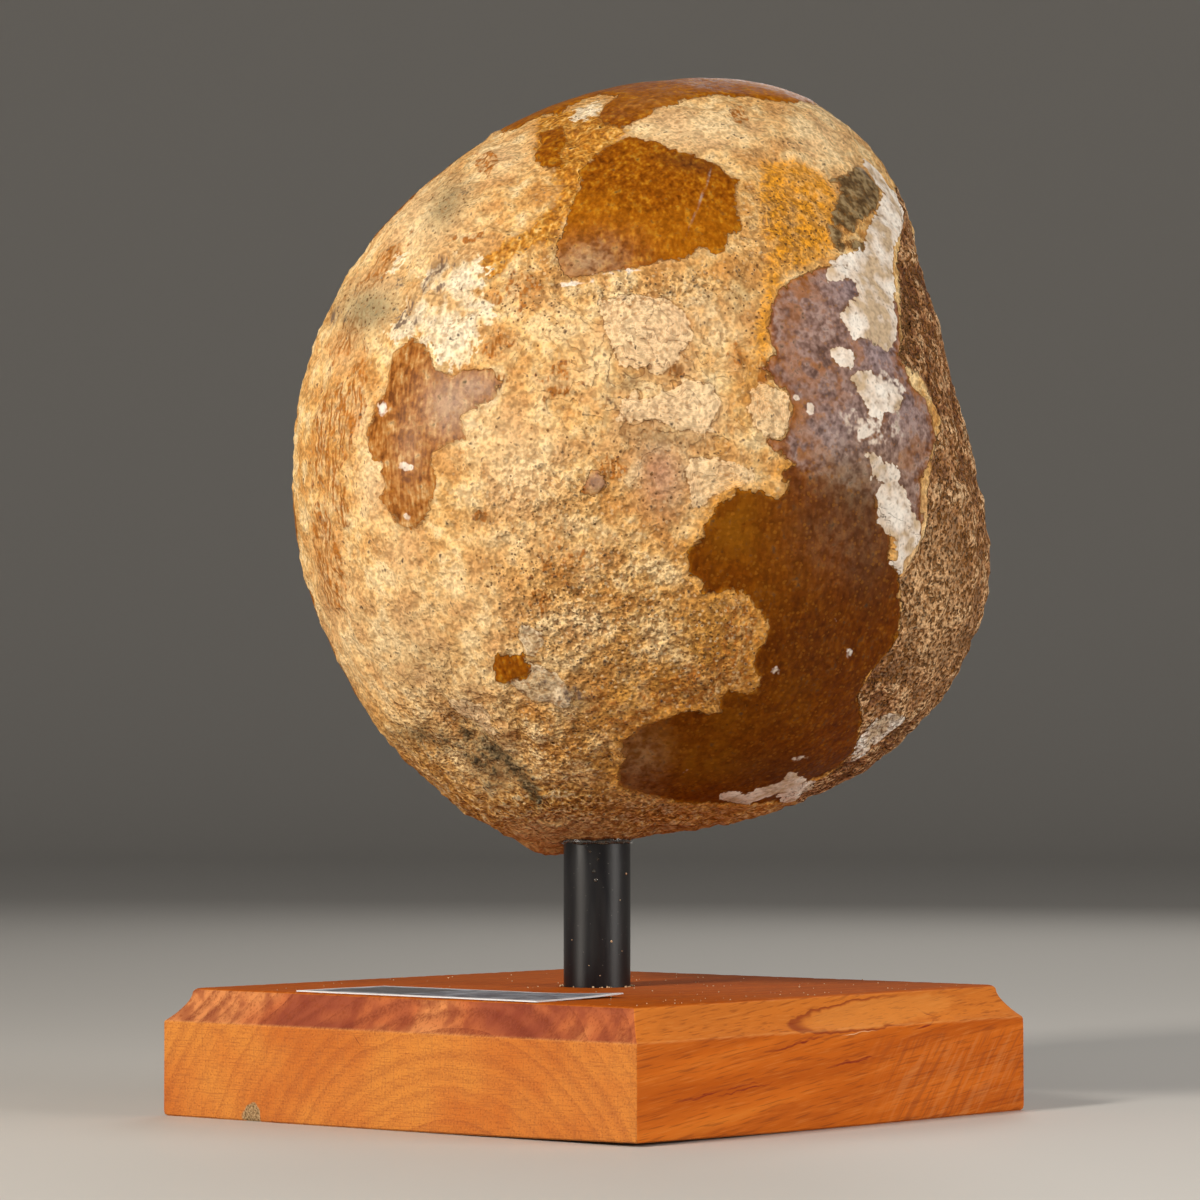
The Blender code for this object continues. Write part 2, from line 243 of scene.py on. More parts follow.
# Soft marks: centre, reach across and down in pixels, turn in degrees, and strength
STAINS = {
    "dirt": (
        (455, 718, 4, 11, -30, 0.7), (469, 738, 19, 6, 28, 0.7), (493, 750, 19, 7, 38, 0.95),
        (512, 768, 20, 7, 48, 0.95), (530, 788, 20, 8, 58, 1.0), (436, 740, 36, 10, 6, 0.55),
        (488, 766, 36, 20, 45, 0.45),
    ),
    "grime": (
        (368, 310, 30, 22, -20, 1.5), (447, 205, 18, 30, 30, 1.2), (430, 668, 60, 30, 30, 0.35),
        (488, 762, 32, 20, 45, 0.9), (420, 736, 40, 14, 10, 0.6), (600, 835, 50, 12, 0, 0.5),
        (560, 255, 10, 22, 0, 0.5), (740, 290, 12, 20, 0, 0.5), (660, 436, 40, 10, 10, 0.6),
        (572, 697, 16, 10, 20, 1.0), (630, 384, 18, 9, -10, 0.6),
    ),
    "pink": (
        (662, 474, 30, 44, -10, 1.2), (700, 320, 50, 30, 0, 0.35),
        (430, 400, 60, 40, 0, 0.2),
    ),
    "rust": (
        (330, 440, 14, 46, 6, 1.3), (354, 400, 9, 44, 10, 1.0), (328, 560, 12, 48, -12, 1.1),
        (346, 335, 10, 30, 30, 0.8), (380, 270, 8, 34, 40, 0.8), (340, 500, 10, 20, -8, 0.9),
        (487, 163, 8, 8, -30, 2.4),
        (470, 284, 6, 9, 0, 0.9), (433, 322, 4, 6, 0, 1.2), (496, 298, 6, 7, 0, 0.8),
        (472, 238, 12, 5, -20, 0.8), (450, 238, 6, 4, -20, 0.7), (520, 118, 44, 3, -30, 1.3),
        (500, 345, 22, 10, -30, 0.7), (488, 376, 20, 6, 10, 1.0),
        (735, 660, 26, 50, 20, 0.8), (690, 690, 50, 22, -12, 0.9), (640, 724, 30, 16, -10, 0.8),
        (748, 610, 24, 18, 20, 0.7), (560, 560, 60, 40, 0, 0.3), (612, 470, 14, 12, 0, 0.9),
        (600, 806, 60, 18, 0, 0.6), (700, 820, 110, 14, -8, 0.8), (640, 816, 60, 12, 0, 0.7),
        (514, 808, 20, 14, 20, 1.1), (550, 796, 16, 10, 20, 0.9), (470, 812, 70, 12, 32, 0.8),
        (412, 770, 50, 10, 40, 0.7), (740, 115, 8, 8, 0, 0.9), (480, 516, 8, 6, 0, 0.8),
        (676, 372, 8, 7, 0, 0.9), (738, 352, 12, 18, 0, 0.5), (560, 380, 26, 22, 0, 0.45),
        (525, 290, 26, 22, 0, 0.5), (540, 604, 12, 14, 0, 0.8), (765, 370, 10, 12, 0, 0.9),
        (790, 452, 30, 6, 25, 0.9), (590, 700, 30, 26, 0, 0.4),
    ),
    "pitted": (
        (580, 800, 90, 30, 0, 1.0), (800, 222, 40, 46, 0, 1.2), (745, 270, 26, 50, 0, 0.9),
        (655, 288, 90, 16, -6, 0.9),
        (520, 300, 44, 36, 0, 0.8), (525, 570, 40, 30, -20, 1.4), (545, 610, 22, 24, 0, 1.5),
        (600, 640, 70, 60, 0, 0.9), (700, 650, 60, 60, 0, 0.9), (560, 250, 12, 30, 0, 0.9),
        (600, 500, 90, 60, 0, 0.5), (600, 740, 50, 40, 0, 0.9), (540, 560, 60, 30, -25, 0.7),
        (445, 195, 18, 30, 20, 0.7), (370, 300, 30, 24, 0, 0.7), (450, 740, 60, 50, 30, 0.8),
    ),
    "creamy": (
        (540, 806, 60, 30, 10, 0.8), (580, 780, 30, 20, 0, 0.6), (640, 800, 40, 14, 0, 0.5),
        (425, 225, 60, 50, -45, 0.8), (375, 300, 30, 40, 30, 0.8), (650, 250, 60, 12, -6, 0.6),
        (820, 140, 50, 30, 35, 0.8), (400, 640, 60, 80, -10, 0.5),
        (930, 600, 40, 90, 0, 1.1),
        (345, 620, 40, 90, -12, 0.45), (372, 480, 16, 46, 0, 0.9), (360, 420, 10, 24, 0, 0.8),
        (500, 440, 50, 40, 0, 0.7), (690, 130, 90, 26, 0, 0.9), (700, 408, 22, 24, 0, 1.0),
        (500, 160, 36, 22, -35, 0.7), (460, 190, 40, 20, -35, 0.5), (520, 540, 60, 30, 0, 0.5),
        (470, 600, 60, 60, 0, 0.4), (400, 560, 30, 60, 0, 0.5), (340, 350, 20, 40, 30, 0.5),
        (600, 340, 90, 50, 0, 0.3), (830, 120, 40, 20, 30, 0.6), (580, 625, 36, 20, 0, 0.6),
        (490, 400, 10, 9, 0, 1.4), (472, 424, 12, 9, 0, 1.3), (520, 470, 46, 56, 0, 0.9),
    ),
    "flaky": (
        (640, 380, 110, 90, 0, 1.0), (560, 330, 80, 60, 0, 0.7), (480, 700, 90, 60, 30, 0.8),
        (720, 430, 60, 60, 0, 0.8), (600, 560, 60, 40, 0, 0.4), (450, 290, 50, 50, 0, 0.5),
    ),
    "granular": (
        (620, 620, 130, 110, 20, 1.0), (560, 500, 120, 60, 0, 0.7), (700, 650, 60, 80, 0, 1.0),
        (560, 740, 90, 50, 20, 1.0), (660, 290, 110, 24, -6, 0.8), (560, 270, 60, 50, 0, 0.6),
        (780, 230, 50, 70, 0, 0.8), (600, 810, 140, 30, 0, 1.0), (450, 740, 80, 60, 30, 0.7),
    ),
    # warm tan patches; the strong ones low on the face are also painted shade that darkens the lower part
    "warm_and_low_shade": (
        (725, 650, 46, 60, 0, 1.0), (660, 695, 80, 26, -10, 1.0), (600, 770, 60, 40, 0, 0.8),
        (440, 790, 70, 16, 35, 0.8), (400, 740, 60, 20, 45, 0.4), (680, 800, 60, 16, -10, 0.8),
        (640, 640, 60, 60, 0, 0.35),
        (540, 560, 60, 50, 0, 0.25), (560, 345, 30, 26, 0, 0.35), (760, 380, 16, 40, 0, 0.4),
        (740, 480, 40, 20, 0, 0.25), (430, 270, 60, 20, -50, 0.25), (330, 400, 16, 60, 0, 0.3),
    ),
    "dusky": (
        (862, 520, 24, 60, -10, 0.6), (900, 700, 40, 30, 0, 0.8), (780, 770, 60, 20, 0, 0.5),
        (852, 478, 32, 22, 20, 0.9), (855, 497, 30, 22, 0, 0.9), (868, 560, 24, 60, 0, 0.55),
        (690, 164, 30, 8, 12, 0.6),
        (832, 520, 40, 30, 0, 0.45), (400, 395, 10, 44, 12, 0.3), (820, 640, 40, 50, 0, 0.25),
    ),
    "tawny": (
        (735, 525, 34, 44, 0, 0.75), (770, 560, 40, 50, 0, 0.4), (660, 750, 50, 26, -10, 0.8),
        (740, 720, 40, 30, 0, 0.5), (790, 700, 30, 40, 0, 0.3), (704, 760, 50, 22, -8, 0.8),
    ),
    # bluish tones of the lilac skin, partly its colour and partly painted sheen where it faces the light
    "bluish_and_sheen": (
        (845, 440, 44, 40, 0, 0.9), (850, 285, 30, 22, 30, 0.7), (880, 350, 24, 40, 0, 0.7),
        (820, 410, 24, 24, 0, 0.5), (900, 400, 24, 50, 0, 0.6), (455, 400, 20, 18, 20, 0.6),
    ),
    "russet": (
        (818, 350, 26, 40, 10, 1.0), (800, 300, 16, 30, 20, 0.8), (795, 410, 20, 30, 0, 0.9),
        (840, 380, 30, 20, 0, 0.6), (870, 440, 20, 30, 0, 0.3), (800, 450, 20, 20, 0, 0.9),
    ),
    # tan brown along the underside: partly the bone's colour, partly painted shade under the ball
    "tan_and_underside_shade": (
        (700, 824, 130, 16, -6, 0.8), (470, 822, 70, 14, 30, 0.5),
        (500, 806, 30, 12, 10, 0.8), (800, 800, 60, 14, -25, 0.8),
    ),
    "crumbs": (
        (560, 800, 80, 26, 0, 1.0), (470, 806, 60, 16, 35, 0.7), (650, 818, 70, 14, 0, 0.8),
        (740, 822, 70, 12, -8, 0.5), (430, 765, 50, 16, 40, 0.4), (600, 770, 60, 20, 0, 0.4),
    ),
    # dents and cracks, sunk into the surface and darkened with painted shade
    "sunk": (
        (629, 384, 16, 9, -12, 0.9), (680, 351, 2.5, 8, 30, 1.3), (678, 372, 9, 6, 0, 0.8),
        (557, 286, 2.5, 9, 8, 1.2), (650, 438, 42, 5, 6, 0.6), (478, 516, 9, 5, 0, 0.9),
        (437, 266, 12, 5, -50, 0.7), (518, 614, 4, 14, 10, 0.7), (560, 704, 30, 4, 12, 0.6),
        (885, 490, 14, 36, 10, 1.1), (905, 735, 14, 12, 40, 0.9), (930, 655, 8, 16, 20, 0.6),
        (905, 330, 10, 40, 8, 0.7), (522, 692, 16, 3, 38, 1.0),
    ),
    "dashes": (
        (438, 265, 13, 5.5, -52, 1.2), (427, 284, 12, 4, -62, 1.2), (412, 304, 10, 4, -60, 1.1),
        (404, 318, 10, 5, -60, 1.2), (415, 322, 9, 3.5, -58, 1.0), (441, 287, 8, 3, -30, 0.9),
        (398, 282, 9, 6, -50, 0.7), (336, 318, 10, 4, -55, 0.9), (455, 264, 8, 4, -30, 0.6),
        (575, 694, 12, 8, 30, 1.0), (486, 380, 12, 4, 20, 0.8), (498, 392, 4, 12, 20, 0.9),
        (878, 228, 9, 5, 0, 0.8), (873, 302, 7, 5, 30, 0.7), (545, 683, 4, 5, 0, 1.0),
    ),
    "scratch": (
        (708, 178, 2.4, 18, 12, 0.9), (701, 200, 2.4, 18, 20, 0.9), (693, 220, 2.4, 18, 24, 0.8),
        (686, 238, 2.4, 14, 30, 0.6),
    ),
    "ashen": (
        (588, 262, 38, 20, -10, 1.0), (452, 404, 30, 34, 20, 1.0), (474, 388, 26, 16, 0, 1.0),
        (412, 440, 16, 40, 0, 0.4),
        (640, 760, 26, 30, 0, 0.5), (860, 462, 56, 50, 30, 0.5), (850, 540, 50, 40, 0, 0.2),
        (598, 482, 12, 12, 0, 0.8), (640, 108, 40, 8, -15, 0.2),
    ),
    "flecked": (
        (407, 467, 8, 6, 0, 0.9), (408, 516, 5, 4, 0, 0.8), (383, 408, 7, 9, 0, 0.9),
        (811, 408, 5, 7, 0, 1.2), (796, 397, 5, 4, 0, 0.8),
        (776, 670, 9, 7, 20, 0.7), (850, 652, 6, 9, 10, 0.7), (838, 620, 5, 5, 0, 0.5),
        (800, 756, 14, 6, 0, 0.5), (686, 770, 9, 9, 0, 0.5), (572, 283, 30, 2.5, -6, 0.8),
        (620, 272, 40, 2.5, -6, 0.7), (870, 430, 40, 30, 20, 0.55), (880, 390, 30, 20, 20, 0.9),
    ),
}
KNOBS = (                       # lumps that stand out of the face: place, reach in pixels, height
    (597, 482, 9, 0.0013), (706, 392, 12, 0.0005), (760, 410, 22, 0.0004), (520, 640, 16, 0.0004),
    (486, 392, 12, -0.0004), (500, 700, 26, 0.0005), (560, 450, 34, 0.0004), (640, 350, 30, 0.0006),
    (575, 570, 24, 0.0004), (450, 700, 30, 0.0006), (520, 745, 20, -0.0008), (600, 330, 14, 0.0005),
)
ZONES = {
    "raised_skin": RAISED_SKIN, "low_skin": LOW_SKIN, "lilac": LILAC, "brown": BROWN, "olive": OLIVE,
    "crust": CRUST, "plates": PLATES, "chips": CHIPS, "rim": RIM, "orange": ORANGE, "gold": GOLD,
    "white": WHITE,
}
# What the bone's material reads from its vertices, in threes
PACKS = (
    ("raised", "slabs", "leaves"), ("flaky", "skin", "grainy"), ("spongy", "mottle", "creamy"),
    ("low_skin", "lilac", "brown"), ("olive", "crust", "plates"), ("chips", "orange", "gold"),
    ("white", "pits", "grime"), ("pink", "warm_and_low_shade", "rust"), ("tan_and_underside_shade", "crumbs", "caves"),
    ("dashes", "sunk", "broad"), ("far", "tawny", "bluish_and_sheen"), ("russet", "dusky", "ashen"),
    ("scratch", "flecked", "dirt"),
)
# Noises on the surface: size of the lumps in mm, octaves, shift and strength
NOISE_FIELDS = {
    "fine": (2.4, 2, 0.0, 1.0), "lumps": (7, 3, 3.1, 1.0), "broad": (24, 2, 11.0, 1.0),
    "leaves": (10, 3, 17.0, 1.3), "mottle": (8, 3, 23.0, 1.0), "caves": (6, 3, 9.1, 1.0),
}
FLAKE_LEVELS = (-0.20, 0.22)
LIP = ((-0.233, 0.02, -0.972), 0.0075, 0.0030)     # where a tongue of bone hangs beside the post

# Stage
FLOOR_FLAT = 3.0
FLOOR_BEND = 1.0
FLOOR_TOP = 2.2
LIGHTS = (                      # name, place (angle, distance, height), size, watts and colour
    ("key", (-42, 1.1, 0.74), (0.20, 0.26), 13.0, (1.0, 0.93, 0.84)),
    ("fill", (64, 1.2, 0.40), (0.60, 0.65), 9.0, (1.0, 0.96, 0.91)),
    ("side", (-60, 1.1, 0.14), (0.42, 0.60), 4.2, (1.0, 0.92, 0.82)),
    ("back", (165, 1.3, 0.8), (0.6, 0.5), 3.2, (1.0, 0.97, 0.92)),
)

# Colours, and ramps of colours from low to high values of a noise
WORN_TONES = ((0.24, (0.55, 0.265, 0.072)), (0.42, (0.66, 0.365, 0.120)), (0.56, (0.75, 0.465, 0.18)),
              (0.78, (0.87, 0.63, 0.32)))
CREAM = (0.84, 0.63, 0.37)
DULL_PINK = (0.44, 0.23, 0.135)
UNDER_LAYER = (0.86, 0.68, 0.42)
PLATE_CREAM = (0.79, 0.57, 0.34)
# warm tan, also used as painted shade on the lower part of the face
WARM_TAN_AND_LOW_SHADE = (0.62, 0.30, 0.055)
RUST = (0.38, 0.135, 0.022)
# tan brown, also used as painted shade along the underside of the ball
TAN_AND_UNDERSIDE_SHADE = (0.44, 0.205, 0.040)
CRUMB_TONES = ((0.37, (0.18, 0.065, 0.012)), (0.46, (0.48, 0.22, 0.045)), (0.54, (0.80, 0.48, 0.15)),
               (0.62, (0.95, 0.76, 0.44)))
ORANGE_TAN = (0.70, 0.32, 0.055)
GOLD_TONES = ((0.36, (0.28, 0.085, 0.005)), (0.47, (0.46, 0.175, 0.014)), (0.57, (0.66, 0.33, 0.06)),
              (0.69, (0.84, 0.57, 0.24)))
BRIGHT_ORANGE = (0.74, 0.315, 0.026)
GRIME_GREY = (0.32, 0.25, 0.13)
CHALK_TONES = ((0.30, (0.66, 0.42, 0.19)), (0.42, (0.82, 0.66, 0.42)), (0.70, (0.88, 0.76, 0.56)))
CHIP_TONES = ((0.35, (0.52, 0.37, 0.20)), (0.65, (0.70, 0.55, 0.36)))
RIDGE_CREAM = (0.92, 0.78, 0.54)
SPONGY_TONES = ((0.32, (0.13, 0.050, 0.024)), (0.46, (0.32, 0.145, 0.065)), (0.60, (0.52, 0.27, 0.125)),
                (0.78, (0.76, 0.50, 0.28)))
PALE_SPONGE = (0.72, 0.44, 0.22)
# painted shade in the spongy bone's hollows
HOLLOW_SHADE = (0.075, 0.030, 0.016)
PALE_GRAIN = (0.90, 0.70, 0.43)
RUSTY_GRAIN = (0.46, 0.18, 0.036)
# painted shade between grains
GAP_SHADE = (0.30, 0.120, 0.030)
CRACK_BROWN = (0.24, 0.105, 0.040)
SPECK_BROWN = (0.11, 0.050, 0.018)
DASH_GREY = (0.15, 0.095, 0.070)
# painted shade in the dents
DENT_SHADE = (0.20, 0.10, 0.04)
AMBER_TONES = ((0.36, (0.14, 0.034, 0.001)), (0.46, (0.24, 0.063, 0.002)), (0.54, (0.33, 0.100, 0.003)),
               (0.66, (0.56, 0.24, 0.014)))
LIGHT_AMBER = (0.46, 0.155, 0.005)
FAR_AMBER = (0.21, 0.085, 0.02)
DEEP_TONES = ((0.34, (0.085, 0.017, 0.001)), (0.46, (0.125, 0.027, 0.001)),
              (0.56, (0.165, 0.040, 0.001)), (0.70, (0.26, 0.075, 0.003)))
TAWNY = (0.24, 0.085, 0.004)
MAUVE_TONES = ((0.36, (0.12, 0.064, 0.050)), (0.48, (0.24, 0.142, 0.116)), (0.64, (0.44, 0.305, 0.265)))
# bluish lilac, brightening into painted sheen
BLUISH_AND_SHEEN_TONES = ((0.38, (0.12, 0.082, 0.085)), (0.62, (0.40, 0.31, 0.33)))
RUSSET = (0.31, 0.110, 0.026)
DUSK_BROWN = (0.060, 0.026, 0.012)
HIDE_TONES = ((0.38, (0.15, 0.045, 0.008)), (0.48, (0.33, 0.115, 0.020)), (0.57, (0.48, 0.235, 0.070)),
              (0.67, (0.74, 0.50, 0.24)))
ASH_TONES = ((0.40, (0.17, 0.085, 0.040)), (0.50, (0.33, 0.20, 0.11)), (0.62, (0.50, 0.34, 0.19)))
PALE_ASH = (0.60, 0.45, 0.36)
OLIVE_TONES = ((0.40, (0.09, 0.050, 0.020)), (0.50, (0.17, 0.105, 0.045)), (0.60, (0.34, 0.24, 0.12)))
SKIN_GRAIN = (0.50, 0.20, 0.02)
SKIN_SPECK = (0.05, 0.020, 0.008)
SCRATCH_GREY = (0.46, 0.40, 0.36)
# painted shadow lines just outside the edges of the skin and of the standing flakes
EDGE_SHADOW = (0.16, 0.060, 0.014)
FLAKE_EDGE_SHADOW = (0.22, 0.11, 0.045)
CRUST_TONES = ((0.28, (0.58, 0.43, 0.28)), (0.44, (0.76, 0.63, 0.51)), (0.58, (0.87, 0.76, 0.65)),
               (0.75, (0.93, 0.85, 0.75)))
CRUST_SHADE = (0.46, 0.34, 0.24)
CRUST_SPECK = (0.16, 0.10, 0.06)
# painted shade in the crust's holes
CRUST_HOLE_SHADE = (0.38, 0.25, 0.16)
DIRT_BLACK = (0.048, 0.038, 0.023)
WARM_GLOSS = (1.0, 0.78, 0.56)
LONG_TONES = ((0.35, (0.56, 0.115, 0.008)), (0.55, (0.70, 0.165, 0.014)), (0.72, (0.77, 0.215, 0.024)))
LATE_RED = (0.30, 0.050, 0.010)
END_TONES = ((0.35, (0.56, 0.160, 0.029)), (0.50, (0.62, 0.205, 0.039)), (0.65, (0.66, 0.245, 0.046)))
LATE_BROWN = (0.34, 0.085, 0.026)
COVE_TONES = ((0.38, (0.32, 0.078, 0.038)), (0.50, (0.52, 0.145, 0.050)), (0.62, (0.66, 0.25, 0.085)))
COVE_BAND = (0.24, 0.048, 0.026)
COVE_LATE = (0.17, 0.032, 0.018)
COVE_LIGHT = (0.74, 0.27, 0.05)
TOP_RED = (0.40, 0.082, 0.004)
TOP_DARK = (0.20, 0.034, 0.003)
DARK_FIBRE = (0.26, 0.055, 0.014)
PALE_FIBRE = (0.80, 0.36, 0.10)
SAW_BROWN = (0.34, 0.10, 0.03)
RAY_BROWN = (0.36, 0.12, 0.04)
TORN_PALE = (0.74, 0.33, 0.12)
TORN_DARK = (0.34, 0.075, 0.020)
GUM_RED = (0.25, 0.026, 0.012)
FLAME_ORANGE = (0.80, 0.32, 0.07)
FLAME_LINE = (0.26, 0.040, 0.014)
WOOD_SCRATCH = (0.85, 0.62, 0.40)
CHECK_BROWN = (0.16, 0.035, 0.015)
BARK_TONES = ((0.36, (0.12, 0.075, 0.035)), (0.50, (0.34, 0.21, 0.10)), (0.64, (0.50, 0.35, 0.19)))
ARRIS_PALE = (0.80, 0.38, 0.13)
PAINT_TONES = ((0.35, (0.004, 0.004, 0.006)), (0.65, (0.009, 0.009, 0.010)))
DUST_GREY = (0.30, 0.27, 0.24)
GLUE_TONES = ((0.35, (0.62, 0.54, 0.42)), (0.65, (0.90, 0.86, 0.76)))
PRINT_TONES = ((0.38, (0.10, 0.11, 0.14)), (0.62, (0.34, 0.38, 0.46)))
RULE_INK = (0.10, 0.10, 0.13)
BLOCK_INK = (0.045, 0.042, 0.045)
CARD_WHITE = (0.80, 0.80, 0.82)
CARD_FLECK = (0.42, 0.38, 0.34)
DUST_TONES = ((0.35, (0.40, 0.22, 0.10)), (0.65, (0.72, 0.55, 0.36)))
FLOOR_GREY = (0.62, 0.60, 0.57)

# Other marks on the wood: centre, half sizes, turn and colour
WOOD_MARKS = (
    ((BASE_SIDE / 2, 0.0075, 0.0224), (0.002, 0.009, 0.00014), (math.radians(4), 0, 0), WOOD_SCRATCH),
    ((-0.0106, -BASE_SIDE / 2, 0.0213), (0.00022, 0.002, 0.0024), (0, math.radians(-33), 0), CHECK_BROWN),
)


def smoothstep(value, low, high):
    t = np.clip((value - low) / (high - low), 0.0, 1.0)
    return t * t * (3 - 2 * t)


def noise_field(points, size, octaves=1, shift=0.0):
    """Smooth noise, about -1 to 1, whose lumps are near size across."""
    places = points / size + shift
    return np.array([noise.fractal(Vector(place), 1.0, 2.0, octaves) for place in places])


# ---------------------------------------------------------------- the bone's form

def outline_radius(angles):
    """Radius of the joint face at these degrees, on a smooth curve through OUTLINE."""
    knots = np.array(OUTLINE)
    turns = np.concatenate((knots[-2:, 0] - 360, knots[:, 0], knots[:2, 0] + 360))
    radii = np.concatenate((knots[-2:, 1], knots[:, 1], knots[:2, 1]))
    slopes = np.zeros_like(radii)
    slopes[1:-1] = (radii[2:] - radii[:-2]) / (turns[2:] - turns[:-2])
    index = np.searchsorted(turns, angles, side="right") - 1
    span = turns[index + 1] - turns[index]
    t = (angles - turns[index]) / span
    start = (2 * t**3 - 3 * t**2 + 1) * radii[index] + (t**3 - 2 * t**2 + t) * span * slopes[index]
    end = (3 * t**2 - 2 * t**3) * radii[index + 1] + (t**3 - t**2) * span * slopes[index + 1]
    return start + end


def plate_normal():
    """The way that the growth plate faces, in the bone's axes."""
    return np.array((
        math.cos(PLATE_DROP) * math.cos(PLATE_TURN),
        math.cos(PLATE_DROP) * math.sin(PLATE_TURN),
        math.sin(PLATE_DROP),
    ))


def plate_knobs(points):
    """Rounded knobs on the growth plate, from waves that cross in several directions."""
    x, y, z = points.T
    across = x * math.sin(PLATE_TURN) - y * math.cos(PLATE_TURN)
    height = np.zeros(len(points))
    for rate, degrees, phase in PLATE_WAVES:
        way = math.radians(degrees)
        along = math.tau * rate * (across * math.cos(way) + z * math.sin(way))
        side = math.tau * rate * (z * math.cos(way) - across * math.sin(way))
        height += np.sin(along + phase + np.sin(0.7 * side + 2 * phase))
    return PLATE_RELIEF * height / len(PLATE_WAVES)


def bone_form(directions):
    """Distance to the surface, and how far the growth plate lies inside the ball there."""
    x, y, z = directions.T
    across = np.hypot(x, z)
    bends = outline_radius(np.degrees(np.arctan2(z, x)) % 360) - MEAN_RADIUS
    outline = MEAN_RADIUS + bends * across**OUTLINE_FADE
    depth = np.where(y < 0, DOME_DEPTH, BACK_DEPTH)
    ball = (across / outline) ** ROUNDNESS + (np.abs(y) / depth) ** ROUNDNESS
    ball = ball ** (-1 / ROUNDNESS)
    facing = np.maximum(directions @ plate_normal(), 0.001)
    flat = PLATE_DISTANCE / facing
    knobs = plate_knobs(directions * np.minimum(ball, flat)[:, None])
    plate = (PLATE_DISTANCE + knobs) / facing
    sharp = PLATE_EDGE_SHARPNESS
    radius = (ball**-sharp + plate**-sharp) ** (-1 / sharp)
    for towards, reach, sink in HOLLOWS:
        centre = np.array(towards) / np.linalg.norm(towards)
        away = np.linalg.norm(directions - centre, axis=1) * ball / reach
        radius -= sink * np.exp(-away**2)
    return radius, np.clip(ball - flat, -0.02, 0.02)


def picture_place(points):
    """Picture pixels of points in the bone's axes."""
    offset = points - np.array((CAMERA_RIGHT, -CAMERA_DISTANCE, CAMERA_HEIGHT))
    ahead = offset[:, 1] * math.cos(CAMERA_PITCH) + offset[:, 2] * math.sin(CAMERA_PITCH)
    up = offset[:, 2] * math.cos(CAMERA_PITCH) - offset[:, 1] * math.sin(CAMERA_PITCH)
    middle = PICTURE / 2
    return np.stack((middle + FOCAL_PIXELS * offset[:, 0] / ahead,
                     middle - FOCAL_PIXELS * up / ahead), axis=1)


def unrolled_place(directions):
    """Picture pixels, with the far side unrolled outwards past the bone's outline."""
    x, y, z = directions.T
    roll = np.arctan2(z, x)
    lean = np.arccos(np.clip(-y, -1, 1))
    rolls = np.radians(np.arange(-180, 181, 2.0))
    leans = np.radians(np.arange(60, 130, 1.0))
    edge_lean = np.zeros(len(rolls))
    edge_place = np.zeros((len(rolls), 2))
    middle = picture_place(BONE_CENTRE[None])[0]
    for number, angle in enumerate(rolls):
        ways = np.stack((np.sin(leans) * math.cos(angle), -np.cos(leans),
                         np.sin(leans) * math.sin(angle)), axis=1)
        places = picture_place(BONE_CENTRE + ways * bone_form(ways)[0][:, None])
        outermost = np.argmax(np.linalg.norm(places - middle, axis=1))
        edge_lean[number] = leans[outermost]
        edge_place[number] = places[outermost]
    past = lean - np.interp(roll, rolls, edge_lean)
    edge = np.stack([np.interp(roll, rolls, edge_place[:, axis]) for axis in (0, 1)], axis=1)
    pixel = CAMERA_DISTANCE / FOCAL_PIXELS
    outward = np.stack((np.cos(roll), -np.sin(roll)), axis=1)
    beyond = edge + outward * (past * MEAN_RADIUS / pixel)[:, None]
    seen = picture_place(BONE_CENTRE + directions * bone_form(directions)[0][:, None])
    return np.where(past[:, None] > 0, beyond, seen), past * MEAN_RADIUS


class Face:
    """The bone's surface points, and where each lies in the unrolled picture."""

    NEAR = 0.012

    def __init__(self, points, places):
        self.points = points
        self.places = places

    def lifted(self, pixels):
        """Places on the surface that are seen at these pixels."""
        away = np.linalg.norm(self.places[None] - np.array(pixels)[:, None], axis=2)
        near = np.argpartition(away, 4, axis=1)[:, :4]
        weight = 1 / (np.take_along_axis(away, near, axis=1) + 0.05)
        return (self.points[near] * weight[..., None]).sum(1) / weight.sum(1)[:, None]

    def inside(self, pixels):
        """Whether each point is seen inside an outline."""
        result = np.zeros(len(self.places), bool)
        px, py = self.places.T
        for (ax, ay), (bx, by) in zip(pixels, pixels[1:] + pixels[:1]):
            if ay != by:
                crossing = (ay > py) != (by > py)
                result ^= crossing & (px < (bx - ax) * (py - ay) / (by - ay) + ax)
        return result

    def distance(self, outlines):
        """Distance inside the nearest outline's edge, negative outside."""
        best = np.full(len(self.points), -self.NEAR)
        for pixels in outlines:
            corners = self.lifted(pixels)
            low = corners.min(0) - self.NEAR
            high = corners.max(0) + self.NEAR
            near = np.all((self.points > low) & (self.points < high), axis=1)
            edge = np.full(near.sum(), self.NEAR)
            points = self.points[near]
            for start, end in zip(corners, np.roll(corners, -1, axis=0)):
                run = end - start
                along = np.clip((points - start) @ run / max(run @ run, 1e-12), 0, 1)
                edge = np.minimum(edge, np.linalg.norm(points - start - along[:, None] * run, axis=1))
            sign = np.where(self.inside(pixels)[near], 1, -1)
            best[near] = np.maximum(best[near], edge * sign)
        return best

    def stain(self, blots):
        """The strongest of these soft marks at each point."""
        total = np.zeros(len(self.points))
        for x, y, reach_across, reach_down, degrees, strength in blots:
            dx, dy = (self.places - (x, y)).T
            turn = math.radians(degrees)
            along = (dx * math.cos(turn) + dy * math.sin(turn)) / reach_across
            side = (dy * math.cos(turn) - dx * math.sin(turn)) / reach_down
            total = np.maximum(total, strength * np.exp(-along**2 - side**2))
        return total

    def bulge(self, knobs):
        """Rounded lumps that stand out of the surface."""
        total = np.zeros(len(self.points))
        for x, y, reach, height in knobs:
            away = np.linalg.norm(self.places - (x, y), axis=1) / reach
            total += height * np.exp(-away**2)
        return total


